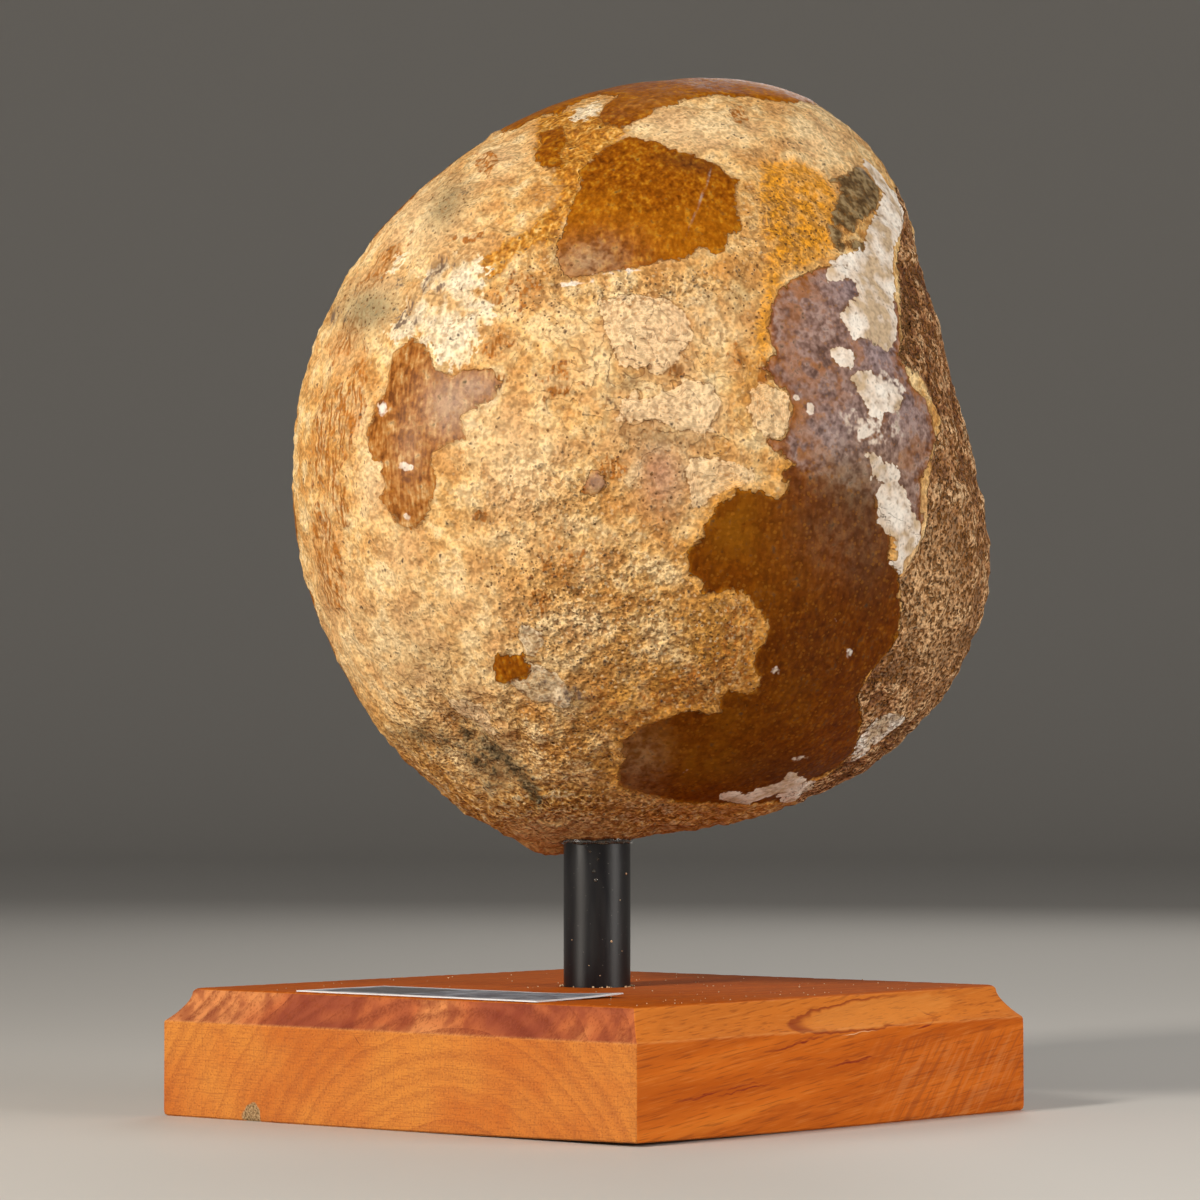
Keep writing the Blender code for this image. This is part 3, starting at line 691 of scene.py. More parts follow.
def bone_directions():
    """Even directions, from the vertices of a finely divided cube."""
    bm = bmesh.new()
    bmesh.ops.create_cube(bm, size=2.0)
    bmesh.ops.subdivide_edges(bm, edges=bm.edges[:], cuts=BONE_GRID - 1, use_grid_fill=True)
    mesh = bpy.data.meshes.new("femur_head_fine")
    bm.to_mesh(mesh)
    bm.free()
    places = np.zeros(len(mesh.vertices) * 3)
    mesh.vertices.foreach_get("co", places)
    ways = np.tan(places.reshape(-1, 3) * math.pi / 4)
    ways /= np.linalg.norm(ways, axis=1)[:, None]
    return mesh, crowded(ways)


def crowded(ways):
    """Slides directions towards -Y, evenly all round it."""
    x, y, z = ways.T
    lean = np.arccos(np.clip(-y, -1, 1))
    new_lean = 2 * np.arctan2(FRONT_CROWDING * np.sin(lean / 2), np.cos(lean / 2))
    spread = np.sin(new_lean) / np.maximum(np.hypot(x, z), 1e-9)
    return np.stack((x * spread, -np.cos(new_lean), z * spread), axis=1)


def far_patches(points, past):
    """Skin left on the side away from the camera, as ragged islands."""
    lumps = noise_field(points, 26 * MM, 3, 7.3)
    island = (lumps - 0.16) * 16 * MM
    return np.minimum(island, past - 4 * MM)


def stepped(value):
    """Plateaus, for crust that breaks away in layers."""
    steps = [smoothstep(value, level - 0.05, level + 0.05) for level in FLAKE_LEVELS]
    return sum(steps)


def find_zones(face, past, plate):
    """How far inside each patch the points are, negative outside it."""
    zones = {name: face.distance(outlines) for name, outlines in ZONES.items()}
    from_plate = np.clip(plate * 1.2 - 1.0 * MM, -face.NEAR, face.NEAR)
    zones["spongy"] = np.maximum(zones["rim"], from_plate)
    far_skin = np.minimum(far_patches(face.points, past), -zones["spongy"])
    zones["raised"] = np.maximum.reduce((zones["raised_skin"], zones["brown"], zones["olive"], far_skin))
    zones["skin"] = np.maximum.reduce((zones["raised"], zones["low_skin"], zones["lilac"]))
    zones["pale"] = np.maximum(zones["crust"], zones["chips"])
    zones["slabs"] = np.maximum(zones["pale"], zones["plates"])
    return zones


def tongue(ways):
    """The tongue of bone that hangs beside the post."""
    towards, reach, rise = LIP
    centre = np.array(towards) / np.linalg.norm(towards)
    away = np.linalg.norm(ways - centre, axis=1) * MEAN_RADIUS / reach
    return rise * np.exp(-away**2)


def relief(zones, stains, fields):
    """How far the patches, flakes, lumps and hollows stand off the bare form."""
    fine = fields["fine"]
    on_skin = smoothstep(zones["skin"] + 0.4 * MM * fine, -0.5 * MM, 0.6 * MM)
    on_raised = smoothstep(zones["raised"] + 0.4 * MM * fine, -0.5 * MM, 0.6 * MM)
    on_crust = smoothstep(zones["pale"] + 0.3 * MM * fine, -0.4 * MM, 0.6 * MM)
    on_spongy = smoothstep(zones["spongy"] + 1.0 * MM * fine, -1.0 * MM, 1.5 * MM)
    on_plate = smoothstep(zones["plates"] + 0.2 * MM * fine, -0.3 * MM, 0.5 * MM)
    worn = (1 - on_skin) * (1 - on_spongy)
    lip = np.exp(-((zones["low_skin"] + 1.0 * MM) / (1.0 * MM)) ** 2)
    height = 0.5 * MM * fields["broad"]
    height += 0.45 * MM * on_raised + 0.25 * MM * on_crust + 0.30 * MM * on_plate
    height += worn * (0.80 * MM * fields["lumps"] + 0.34 * MM * fine + 0.50 * MM * lip)
    height += worn * stains["flaky"] * 0.34 * MM * (stepped(fields["leaves"]) - 1)
    height += 0.6 * MM * stains["crumbs"] * fine
    height -= 0.6 * MM * stains["sunk"] + 0.5 * MM * stains["dirt"]
    height += on_skin * (0.18 + 0.30 * stains["bluish_and_sheen"]) * MM * fields["lumps"]
    height += on_spongy * (-0.4 * MM + 0.35 * MM * fine + 0.9 * MM * fields["caves"])
    return height


def turned(points):
    """From the bone's own axes to the shared frame."""
    cosine, sine = math.cos(BONE_TURN), math.sin(BONE_TURN)
    result = points.copy()
    result[:, :2] = points[:, :2] @ np.array(((cosine, sine), (-sine, cosine)))
    return result


def collared(points, fine):
    """Brings the bone down round the post in a ragged collar."""
    from_post = np.hypot(points[:, 0], points[:, 1])
    collar = COLLAR_HEIGHT + 0.5 * (from_post - SOCKET_RADIUS) + 0.4 * MM * fine
    under = (points[:, 2] < BONE_CENTRE[2]) & (from_post < COLLAR_REACH)
    points[:, 2] = np.where(under, np.minimum(points[:, 2], collar), points[:, 2])
    return points


def material_values(zones, stains, fields, behind):
    """What the bone's material reads: millimetres inside the patches, soft marks and noises."""
    values = {name: distances / MM for name, distances in zones.items()}
    values.update(stains)
    values["grainy"] = np.maximum(stains["granular"], 0.30 - 0.18 * stains["creamy"])
    values["pits"] = 0.06 + 0.46 * stains["pitted"] + 0.25 * stains["grime"]
    values["leaves"] = fields["leaves"]
    values["far"] = behind
    for name in ("broad", "mottle", "caves"):
        values[name] = 0.5 + 0.5 * fields[name]
    return values


def store_values(mesh, values):
    """Stores on the vertices what PACKS names, three values to an attribute."""
    for number, names in enumerate(PACKS):
        layer = mesh.attributes.new(f"pack_{number}", "FLOAT_VECTOR", "POINT")
        block = np.stack([values[name] for name in names], axis=1)
        layer.data.foreach_set("vector", block.astype(np.float32).ravel())


def make_bone():
    mesh, ways = bone_directions()
    radius, plate = bone_form(ways)
    places, past = unrolled_place(ways)
    points = BONE_CENTRE + ways * radius[:, None]
    face = Face(points, places)
    zones = find_zones(face, past, plate)
    stains = {name: face.stain(blots) for name, blots in STAINS.items()}
    behind = smoothstep(past, -4 * MM, 26 * MM)
    stains["flaky"] = np.maximum(stains["flaky"], 0.6 * behind)
    fields = {name: noise_field(points, size * MM, octaves, shift) * strength
              for name, (size, octaves, shift, strength) in NOISE_FIELDS.items()}
    height = face.bulge(KNOBS) + relief(zones, stains, fields) + tongue(ways)
    moved = collared(turned(points + ways * height[:, None]), fields["fine"])
    mesh.vertices.foreach_set("co", moved.ravel())
    store_values(mesh, material_values(zones, stains, fields, behind))
    drill_socket(mesh)
    mesh.shade_smooth()
    add_piece("femur_head_bone", mesh, bone_material(), "fossil_bone", "femur_head")


def drill_socket(mesh):
    """Opens a round hole for the post in the bone's underside, and lines it."""
    bm = bmesh.new()
    bm.from_mesh(mesh)
    reach = SOCKET_RADIUS + 0.4 * MM
    under = BONE_CENTRE[2]
    gone = [face for face in bm.faces
            if all(vert.co.z < under and vert.co.xy.length < reach for vert in face.verts)]
    bmesh.ops.delete(bm, geom=gone, context="FACES")
    rim = [edge for edge in bm.edges if edge.is_boundary]
    for vert in {vert for edge in rim for vert in edge.verts}:
        vert.co.xy = vert.co.xy.normalized() * SOCKET_RADIUS
    wall = bmesh.ops.extrude_edge_only(bm, edges=rim)["geom"]
    tops = [item for item in wall if isinstance(item, bmesh.types.BMVert)]
    top = max(vert.co.z for vert in tops) + SOCKET_DEPTH
    for vert in tops:
        vert.co.z = top
    roof = [item for item in wall if isinstance(item, bmesh.types.BMEdge) and item.is_boundary]
    bmesh.ops.contextual_create(bm, geom=roof)
    bmesh.ops.recalc_face_normals(bm, faces=bm.faces)
    bm.to_mesh(mesh)
    bm.free()


# ---------------------------------------------------------------- the stand's form

def add_piece(name, mesh, material, slot, *nodes):
    mesh.materials.append(material)
    item = bpy.data.objects.new(name, mesh)
    bpy.context.collection.objects.link(item)
    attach(item, "root")
    if nodes:
        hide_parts(*nodes)


def join_rings(bm, rings, closed=False):
    """Faces between rings of equally many points, and from the last to the first if closed."""
    rows = [[bm.verts.new(place) for place in ring] for ring in rings]
    pairs = list(zip(rows, rows[1:]))
    if closed:
        pairs.append((rows[-1], rows[0]))
    for lower, upper in pairs:
        for here in range(len(lower)):
            there = (here + 1) % len(lower)
            bm.faces.new((lower[here], lower[there], upper[there], upper[here]))
    return rows


def finished(bm, name, crease=180):
    """A mesh that is smooth except at edges that turn by more than crease degrees."""
    bmesh.ops.recalc_face_normals(bm, faces=bm.faces)
    for edge in bm.edges:
        edge.smooth = edge.calc_face_angle(0) <= math.radians(crease)
    for face in bm.faces:
        face.smooth = True
    mesh = bpy.data.meshes.new(name)
    bm.to_mesh(mesh)
    bm.free()
    return mesh


def skinned(name, rings, crease):
    """A closed mesh through rings of points, capped at both ends."""
    bm = bmesh.new()
    rows = join_rings(bm, rings)
    bm.faces.new(rows[0][::-1])
    bm.faces.new(rows[-1])
    return finished(bm, name, crease)


def square_ring(half):
    """Points round a square with softened corners, anticlockwise from the front left."""
    straight = half - CORNER_RADIUS
    run = [(-straight + 2 * straight * step / (BASE_SIDE_POINTS - 1), -half)
           for step in range(BASE_SIDE_POINTS)]
    run += [(straight + CORNER_RADIUS * math.sin(a), -straight - CORNER_RADIUS * math.cos(a))
            for a in (math.radians(30), math.radians(60))]
    points = []
    for turn in (side * math.pi / 2 for side in range(4)):
        points += [(x * math.cos(turn) - y * math.sin(turn), x * math.sin(turn) + y * math.cos(turn))
                   for x, y in run]
    return points


def base_rings():
    """From the bottom of the post's hole up, out over the top, down the side and in underneath."""
    half = BASE_SIDE / 2
    top = square_ring(half - BASE_PROFILE[0][0])
    hole = [(Vector(place).normalized() * POST_HOLE)[:] for place in top]
    low = POST_FOOT - 0.3 * MM
    rings = [[(x * 0.05, y * 0.05, low) for x, y in hole]]
    rings += [[(x, y, z) for x, y in hole] for z in (low, 0.020, BASE_HEIGHT - 0.25 * MM)]
    for share in TOP_SHARES:
        rings.append([(a[0] + (b[0] - a[0]) * share, a[1] + (b[1] - a[1]) * share, BASE_HEIGHT)
                      for a, b in zip(hole, top)])
    rings += [[(x, y, z) for x, y in square_ring(half - inset)] for inset, z in BASE_PROFILE]
    rings += [[(x, y, 0.0) for x, y in square_ring(half * share)] for share in UNDERSIDE_SHARES]
    return rings


def edge_wear(spot, reach):
    """How far a point near the block's faces is worn in, and down."""
    half = BASE_SIDE / 2
    near_edge = sum(math.exp(-((spot.z - edge) / 0.0007) ** 2) for edge in (COVE_FOOT, 0.0002))
    near_top = math.exp(-((spot.z - BASE_HEIGHT) / 0.0008) ** 2)
    near_edge += near_top * math.exp(-((reach - half + 0.006) / 0.0010) ** 2)
    knocks = max(0.0, noise.noise(spot / 0.0035) - 0.15) + 0.5 * max(0.0, noise.noise(spot / 0.0012))
    pull = 0.35 * MM * near_edge * knocks + 0.05 * MM * noise.noise(spot / 0.010)
    drop = 0.25 * MM * near_edge * knocks if spot.z > 0.01 else 0.0
    return pull, drop


def wear(place):
    """Moves a point of the block where it is knocked, worn or warped."""
    x, y, z = place
    spot = Vector(place)
    reach = max(abs(x), abs(y))
    if reach > BASE_SIDE / 2 - 0.012:
        pull, drop = edge_wear(spot, reach)
        x -= pull * x / reach
        y -= pull * y / reach
        z -= drop
    dent = (spot - Vector(CHIP)).length / 0.0042
    if dent < 1.6:
        bite = math.exp(-dent**2) * (0.7 + 0.8 * noise.noise(spot / 0.0013))
        y += 0.9 * MM * max(0.0, bite)
    if z < 0.004:
        to_corner = max(0.0, (x - y) / BASE_SIDE - 0.30) / 0.70
        z += 0.9 * MM * to_corner**2 * (1 - z / 0.004)
    return x, y, z


def make_base():
    rings = [[wear(place) for place in ring] for ring in base_rings()]
    add_piece("base_wood", skinned("base_wood", rings, 30), wood_material(), "cherry_wood", "base")


def round_ring(radius, height):
    return [(radius * math.cos(a), radius * math.sin(a), height)
            for a in (math.tau * side / ROUND_SIDES for side in range(ROUND_SIDES))]


def make_post():
    """A rod with broken edges and slight sags in its paint."""
    edge = 0.6 * MM
    steps = [(0.002, POST_FOOT), (POST_RADIUS - edge, POST_FOOT)]
    steps += [(POST_RADIUS, POST_FOOT + edge + step * 2.2 * MM) for step in range(44)]
    steps += [(POST_RADIUS, POST_TOP - edge), (POST_RADIUS - edge, POST_TOP), (0.002, POST_TOP)]
    rings = []
    for radius, height in steps:
        ring = []
        for x, y, z in round_ring(radius, height):
            sag = 0.035 * MM * noise.noise(Vector((x * 260, y * 260, z * 45)))
            ring.append((x * (1 + sag / radius), y * (1 + sag / radius), z))
        rings.append(ring)
    add_piece("post_tube", skinned("post_tube", rings, 35), paint_material(), "black_satin", "post")


def on_post(pixel_x, pixel_y):
    """The place on the post's front that the camera sees at a pixel."""
    right = np.array((math.cos(FRONT_TURN), math.sin(FRONT_TURN)))
    ahead = np.array((-math.sin(FRONT_TURN), math.cos(FRONT_TURN)))
    pixel = (CAMERA_DISTANCE - POST_RADIUS) / FOCAL_PIXELS
    across = (pixel_x - PICTURE / 2) * pixel + CAMERA_RIGHT
    across = max(-POST_RADIUS, min(POST_RADIUS, across))
    depth = -math.sqrt(POST_RADIUS**2 - across**2)
    level = PICTURE / 2 + FOCAL_PIXELS * math.tan(CAMERA_PITCH)
    height = CAMERA_HEIGHT - (pixel_y - level) * pixel
    x, y = right * across + ahead * depth
    return Vector((x, y, height))


def pebble(bm, place, size, seed, flatten=1.0):
    """A small lump, seeded so that each is different."""
    made = bmesh.ops.create_icosphere(bm, subdivisions=1, radius=size)["verts"]
    outward = Vector((place.x, place.y, 0)).normalized()
    for vert in made:
        wobble = 1 + 0.45 * noise.noise(vert.co / size * 0.9 + Vector((seed, 0, 0)))
        vert.co *= wobble
        vert.co -= outward * vert.co.dot(outward) * (1 - flatten)
        vert.co += place


def make_glue():
    """A wavy bead of set glue where the post enters the bone, with a few drops below it."""
    rings = []
    for radius, height in GLUE_PROFILE:
        ring = []
        for x, y, z in round_ring(radius, height):
            spot = Vector((x, y, 0)) * 260
            dip = 0.45 * MM * noise.noise(spot) + 0.25 * MM * noise.noise(spot * 2.3)
            low = max(0.0, (GLUE_SHOULDER - z) / 0.0045)
            bulge = 1 + 0.02 * low * noise.noise(spot * 1.7 + Vector((5, 0, 0)))
            ring.append((x * bulge, y * bulge, z + dip * low))
        rings.append(ring)
    bm = bmesh.new()
    join_rings(bm, rings, closed=True)
    for number, (pixel_x, pixel_y, size) in enumerate(GLUE_DROPS):
        pebble(bm, on_post(pixel_x, pixel_y), size, number, 0.45)
    add_piece("glue_bead", finished(bm, "glue_bead"), glue_material(), "clear_glue", "glue")


def make_label():
    """A card that lies on the block, its right-hand corner lifting."""
    bm = bmesh.new()
    bmesh.ops.create_grid(bm, x_segments=60, y_segments=24, size=0.5)
    length, width = LABEL_SIZE
    corner = Vector((length / 2, width / 2))
    for vert in bm.verts:
        vert.co.x *= length
        vert.co.y *= width
        away = (corner - vert.co.xy).length
        lift = LABEL_LIFT * max(0.0, 1 - away / LABEL_LIFT_REACH) ** 2
        vert.co.z = lift + 0.04 * MM * (1 + noise.noise(vert.co / 0.012))
    for item in bmesh.ops.extrude_face_region(bm, geom=bm.faces[:])["geom"]:
        if isinstance(item, bmesh.types.BMVert):
            item.co.z += LABEL_THICKNESS
    for vert in bm.verts:
        x, y, z = vert.co
        vert.co.x = x * math.cos(LABEL_TURN) - y * math.sin(LABEL_TURN) + LABEL_CENTRE[0]
        vert.co.y = x * math.sin(LABEL_TURN) + y * math.cos(LABEL_TURN) + LABEL_CENTRE[1]
        vert.co.z = z + BASE_HEIGHT + 0.02 * MM
    add_piece("label_card", finished(bm, "label_card", 0), card_material(), "paper", "label")


def make_crumbs():
    """Splinters round the post's foot, and dust on the block and the post."""
    rng = np.random.default_rng(7)
    bm = bmesh.new()
    for number in range(46):
        turn = rng.uniform(0, math.tau)
        reach = POST_RADIUS + rng.uniform(0.1, 0.9) * MM
        size = rng.uniform(0.12, 0.34) * MM
        place = Vector((reach * math.cos(turn), reach * math.sin(turn), BASE_HEIGHT + 0.3 * size))
        pebble(bm, place, size, number)
    half = BASE_SIDE / 2 - 0.0066
    for number in range(130):
        x, y = rng.uniform(-half, half, 2)
        if rng.random() < 0.35:
            x = half - abs(rng.normal(0, 0.010))
            y = rng.uniform(-half, half)
        size = rng.uniform(0.08, 0.22) * MM
        pebble(bm, Vector((x, y, BASE_HEIGHT + 0.3 * size)), size, 100 + number)
    for number, (pixel_x, pixel_y, size) in enumerate(POST_DUST):
        pebble(bm, on_post(pixel_x, pixel_y), size, 300 + number)
    add_piece("dust_and_splinters", finished(bm, "dust_and_splinters"), dust_material(), "cherry_wood")


# ---------------------------------------------------------------- materials

class Nodes:
    """Short names for the nodes of one material."""

    def __init__(self, name):
        self.material = bpy.data.materials.new(name)
        self.material.use_nodes = True
        self.tree = self.material.node_tree
        self.shader = self.tree.nodes["Principled BSDF"]
        self.object_space = self.tree.nodes.new("ShaderNodeTexCoord").outputs["Object"]

    def link(self, value, socket):
        if isinstance(value, bpy.types.NodeSocket):
            self.tree.links.new(value, socket)
        elif socket.type == "RGBA":
            socket.default_value = (*value, 1.0)
        else:
            socket.default_value = value

    def finish(self, **inputs):
        for name, value in inputs.items():
            self.link(value, self.shader.inputs[name.replace("_", " ")])
        return self.material

    def node(self, kind, output, inputs, **settings):
        """Adds a node with these settings and inputs, and returns one of its outputs."""
        node = self.tree.nodes.new("ShaderNode" + kind)
        for name, value in settings.items():
            setattr(node, name, value)
        for key, value in inputs.items():
            self.link(value, node.inputs[key])
        return node.outputs[output]

    def attribute(self, name):
        """One of the values that PACKS names."""
        number = next(index for index, names in enumerate(PACKS) if name in names)
        pack = self.node("Attribute", "Vector", {}, attribute_name=f"pack_{number}")
        return self.parts(pack)[PACKS[number].index(name)]

    def math(self, operation, *values):
        return self.node("Math", 0, dict(enumerate(values)), operation=operation)

    def times(self, *factors):
        product = factors[0]
        for factor in factors[1:]:
            product = self.math("MULTIPLY", product, factor)
        return product

    def muladd(self, first, second, third):
        """First times second, plus third."""
        return self.math("MULTIPLY_ADD", first, second, third)

    def plus(self, first, second):
        return self.math("ADD", first, second)

    def minus(self, first, second):
        return self.math("SUBTRACT", first, second)

    def rest(self, value):
        return self.math("SUBTRACT", 1.0, value)

    def most(self, first, second):
        return self.math("MAXIMUM", first, second)

    def scaled(self, colour, factor):
        return self.node("VectorMath", 0, {0: colour, "Scale": factor}, operation="SCALE")

    def step(self, value, low, high, start=0.0, end=1.0):
        """From start where value is low, smoothly to end where it is high."""
        inputs = {"Value": value, "From Min": low, "From Max": high, "To Min": start, "To Max": end}
        return self.node("MapRange", "Result", inputs, interpolation_type="SMOOTHSTEP")

    def mix(self, factor, first, second):
        """A colour between two."""
        return self.node("Mix", 2, {"Factor": factor, 6: first, 7: second}, data_type="RGBA")

    def blend(self, factor, first, second):
        """A number between two."""
        return self.node("Mix", 0, {"Factor": factor, 2: first, 3: second})

    def ramp(self, factor, *stops):
        colour = self.node("ValToRGB", 0, {0: factor})
        elements = colour.node.color_ramp.elements
        for element, (place, tone) in zip(elements, (stops[0], stops[-1])):
            element.position = place
            element.color = (*tone, 1.0)
        for place, tone in stops[1:-1]:
            elements.new(place).color = (*tone, 1.0)
        return colour

    def mapped(self, vector=None, location=(0, 0, 0), rotation=(0, 0, 0), scale=(1, 1, 1)):
        """Coordinates in axes that are moved, turned and sized like this."""
        inputs = {"Vector": vector or self.object_space, "Location": location, "Rotation": rotation,
                  "Scale": scale}
        return self.node("Mapping", 0, inputs, vector_type="TEXTURE")

    def noise(self, size, detail=2.0, rough=0.5, vector=None, output="Fac"):
        """Noise from 0 to 1, with lumps about half of size across."""
        inputs = {"Vector": vector or self.object_space, "Scale": 1 / size, "Detail": detail,
                  "Roughness": rough}
        return self.node("TexNoise", output, inputs)

    def stretched(self, scale, detail, rough, rotation=(0, 0, 0)):
        """Noise in lumps of these three sizes, along axes turned by rotation."""
        return self.noise(1.0, detail, rough, self.mapped(rotation=rotation, scale=scale))

    def grains(self, size):
        """Distance from the middle of grains of this size, and three random values for each."""
        distance = self.node("TexVoronoi", "Distance", {"Vector": self.object_space, "Scale": 1 / size})
        colour = distance.node.outputs["Color"]
        return distance, *self.node("SeparateColor", 0, {0: colour}).node.outputs

    def parts(self, vector):
        return self.node("SeparateXYZ", 0, {0: vector}).node.outputs

    def joined(self, *parts):
        return self.node("CombineXYZ", 0, dict(enumerate(parts)))

    def bump(self, height):
        """A normal from relief in millimetres."""
        return self.node("Bump", 0, {"Strength": 1.0, "Distance": MM, "Height": height})

    def shifted(self, noises, reach):
        """Places moved by up to reach, for ragged shapes."""
        centred = self.node("VectorMath", 0, {0: noises, 1: (0.5, 0.5, 0.5)}, operation="SUBTRACT")
        inputs = {0: centred, 1: (2 * reach, 2 * reach, 2 * reach), 2: self.object_space}
        return self.node("VectorMath", 0, inputs, operation="MULTIPLY_ADD")

    def oval(self, centre, halves, turn, vector):
        """Distance from centre, with 1 at these half sizes."""
        place = self.mapped(vector, centre, turn, halves)
        return self.node("VectorMath", "Value", {0: place}, operation="LENGTH")

    def lens(self, centre, halves, turn, vector):
        """1 in the middle of an oval with these half sizes, down to 0 at its edge."""
        return self.step(self.oval(centre, halves, turn, vector), 1.0, 0.35)


class BoneNodes(Nodes):
    """The bone's nodes, with the noises and ragged patches that its colours share."""

    def __init__(self):
        super().__init__("fossil_bone")
        self.blotch = self.noise(3.4 * MM, 1, 0.7)
        self.grain = self.noise(1.4 * MM, 1, 0.7)
        self.cell, self.pick, self.tint, self.light = self.grains(0.90 * MM)
        self.streak = self.stretched((1.2 * MM, 1.2 * MM, 4.5 * MM), 1, 0.65)
        self.mottle = self.muladd(self.minus(self.blotch, 0.5), 0.9, self.attribute("mottle"))
        self.clouded = self.muladd(self.grain, 0.45, self.times(self.blotch, 0.55))
        self.brushed = self.muladd(self.streak, 0.40, self.times(self.clouded, 0.60))
        # Between -1.5 and 1.5 mm, to tear the edges of the patches
        self.tear = self.plus(self.muladd(self.blotch, 3.4, -1.7), self.muladd(self.grain, 2.6, -1.3))
        self.creamy = self.attribute("creamy")
        self.on_skin = self.ragged("skin")
        self.on_crust = self.ragged("crust", 0.9)
        self.on_chip = self.ragged("chips", 0.45)
        self.on_plate = self.ragged("plates", 0.8)
        self.on_slab = self.ragged("slabs", 0.8)
        self.on_spongy = self.ragged("spongy", 1.0, 0.5)
        self.scatter = self.most(self.attribute("grainy"), self.on_spongy)
        self.find_flakes()
        self.find_grains()

    def ragged(self, name, wobble=1.0, width=0.12, grow=0.0):
        """1 inside a patch, from its attribute of millimetres inside the edge."""
        distance = self.muladd(self.tear, wobble, self.attribute(name))
        return self.step(distance, -width - grow, width - grow)

    def torn(self, name, wobble, low, high, start=0.0, end=1.0):
        """Like ragged, with an edge from low to high millimetres inside."""
        return self.step(self.muladd(self.tear, wobble, self.attribute(name)), low, high, start, end)

    def stained(self, name, low=0.25, high=0.55, rough=0.5):
        """A soft mark, broken up by the noises."""
        value = self.plus(self.attribute(name), self.muladd(self.grain, rough, self.blotch))
        middle = 0.5 + 0.5 * rough
        return self.step(value, low + middle, high + middle)

    def find_flakes(self):
        """Layers that have flaked away, and cracks along their edges."""
        leaf = self.muladd(self.tear, 0.11, self.attribute("leaves"))
        flaking = self.times(self.attribute("flaky"), self.rest(self.on_skin))
        layers = self.plus(self.step(leaf, -0.23, -0.18), self.step(leaf, 0.20, 0.25))
        self.layers = self.times(layers, flaking)
        cracks = self.step(self.math("PINGPONG", self.plus(leaf, 0.23), 0.21), 0.045, 0.0)
        self.cracks = self.times(cracks, flaking, self.step(self.grain, 0.62, 0.40, 0.1, 0.9))

    def find_grains(self):
        """Specks where grains have fallen out, pale and rusty grains, and painted shade in the gaps between
        them.
        """
        middle = self.muladd(self.grain, 0.9, self.minus(self.cell, 0.45))
        density = self.muladd(self.on_spongy, 0.40, self.attribute("pits"))
        fallen = self.step(self.minus(self.pick, density), 0.03, -0.10)
        self.speck = self.times(fallen, self.step(middle, 0.38, 0.20))
        self.pale_grain = self.times(self.step(self.light, 0.62, 0.86), self.step(middle, 0.56, 0.28))
        self.rusty_grain = self.times(self.step(self.tint, 0.70, 0.90), self.step(middle, 0.58, 0.32))
        self.gap = self.step(self.muladd(self.grain, -1.1, self.cell), -0.10, 0.16)


def worn_colour(n):
    """Worn bone, from orange tan to pale cream, with its stains, and painted shade that darkens its lower
    part and underside.
    """
    colour = n.ramp(n.mottle, *WORN_TONES)
    colour = n.mix(n.times(n.creamy, 0.7), colour, CREAM)
    colour = n.mix(n.times(n.attribute("pink"), 0.80), colour, DULL_PINK)
    colour = n.mix(n.times(n.layers, 0.14), colour, UNDER_LAYER)
    colour = n.mix(n.times(n.on_plate, 0.60), colour, PLATE_CREAM)
    # Warm tan patches: partly the bone's colour, partly painted shade that darkens the lower part of the
    # face
    colour = n.mix(n.times(n.attribute("warm_and_low_shade"), n.step(n.mottle, 0.75, 0.30, 0.55, 0.95)), colour, WARM_TAN_AND_LOW_SHADE)
    rusty = n.times(n.stained("rust", 0.22, 0.42), n.step(n.streak, 0.40, 0.60, 0.98, 0.30))
    colour = n.mix(rusty, colour, RUST)
    # Tan brown along the underside: partly the bone's colour, partly painted shade under the ball
    tan_and_underside_shade = n.times(n.attribute("tan_and_underside_shade"), n.step(n.mottle, 0.75, 0.35, 0.5, 0.95))
    colour = n.mix(tan_and_underside_shade, colour, TAN_AND_UNDERSIDE_SHADE)
    colour = n.mix(n.attribute("crumbs"), colour, n.ramp(n.clouded, *CRUMB_TONES))
    return n.mix(n.torn("low_skin", 1.5, -3.4, -0.4, 0.0, 0.6), colour, ORANGE_TAN)


def tinted_colour(n, colour):
    """The gold, orange, grimy and white parts of the worn bone, and its flat flakes."""
    golden = n.torn("gold", 1.6, -1.0, 1.0)
    orange = n.torn("orange", 1.4, -1.6, 1.8)
    colour = n.mix(n.times(golden, 0.95), colour, n.ramp(n.brushed, *GOLD_TONES))
    colour = n.mix(n.times(orange, n.step(n.blotch, 0.38, 0.62, 1.0, 0.70)), colour, BRIGHT_ORANGE)
    grimy = n.times(n.attribute("grime"), n.step(n.grain, 0.30, 0.65, 0.50, 0.85))
    colour = n.mix(grimy, colour, GRIME_GREY)
    colour = n.mix(n.times(n.ragged("white", 2.4, 0.40), 0.85), colour, n.ramp(n.mottle, *CHALK_TONES))
    colour = n.mix(n.on_chip, colour, n.ramp(n.mottle, *CHIP_TONES))
    # Fine ridges that follow a flake's edge
    lines = n.times(n.most(n.attribute("chips"), n.attribute("plates")), 13.0)
    lines = n.math("SINE", n.muladd(n.blotch, 22.0, lines))
    on_flat = n.most(n.on_chip, n.on_plate)
    colour = n.mix(n.times(on_flat, n.step(lines, -0.4, 0.9, 0.0, 0.22)), colour, RIDGE_CREAM)
    coloured = n.most(n.most(golden, orange), n.on_spongy)
    return colour, coloured, on_flat


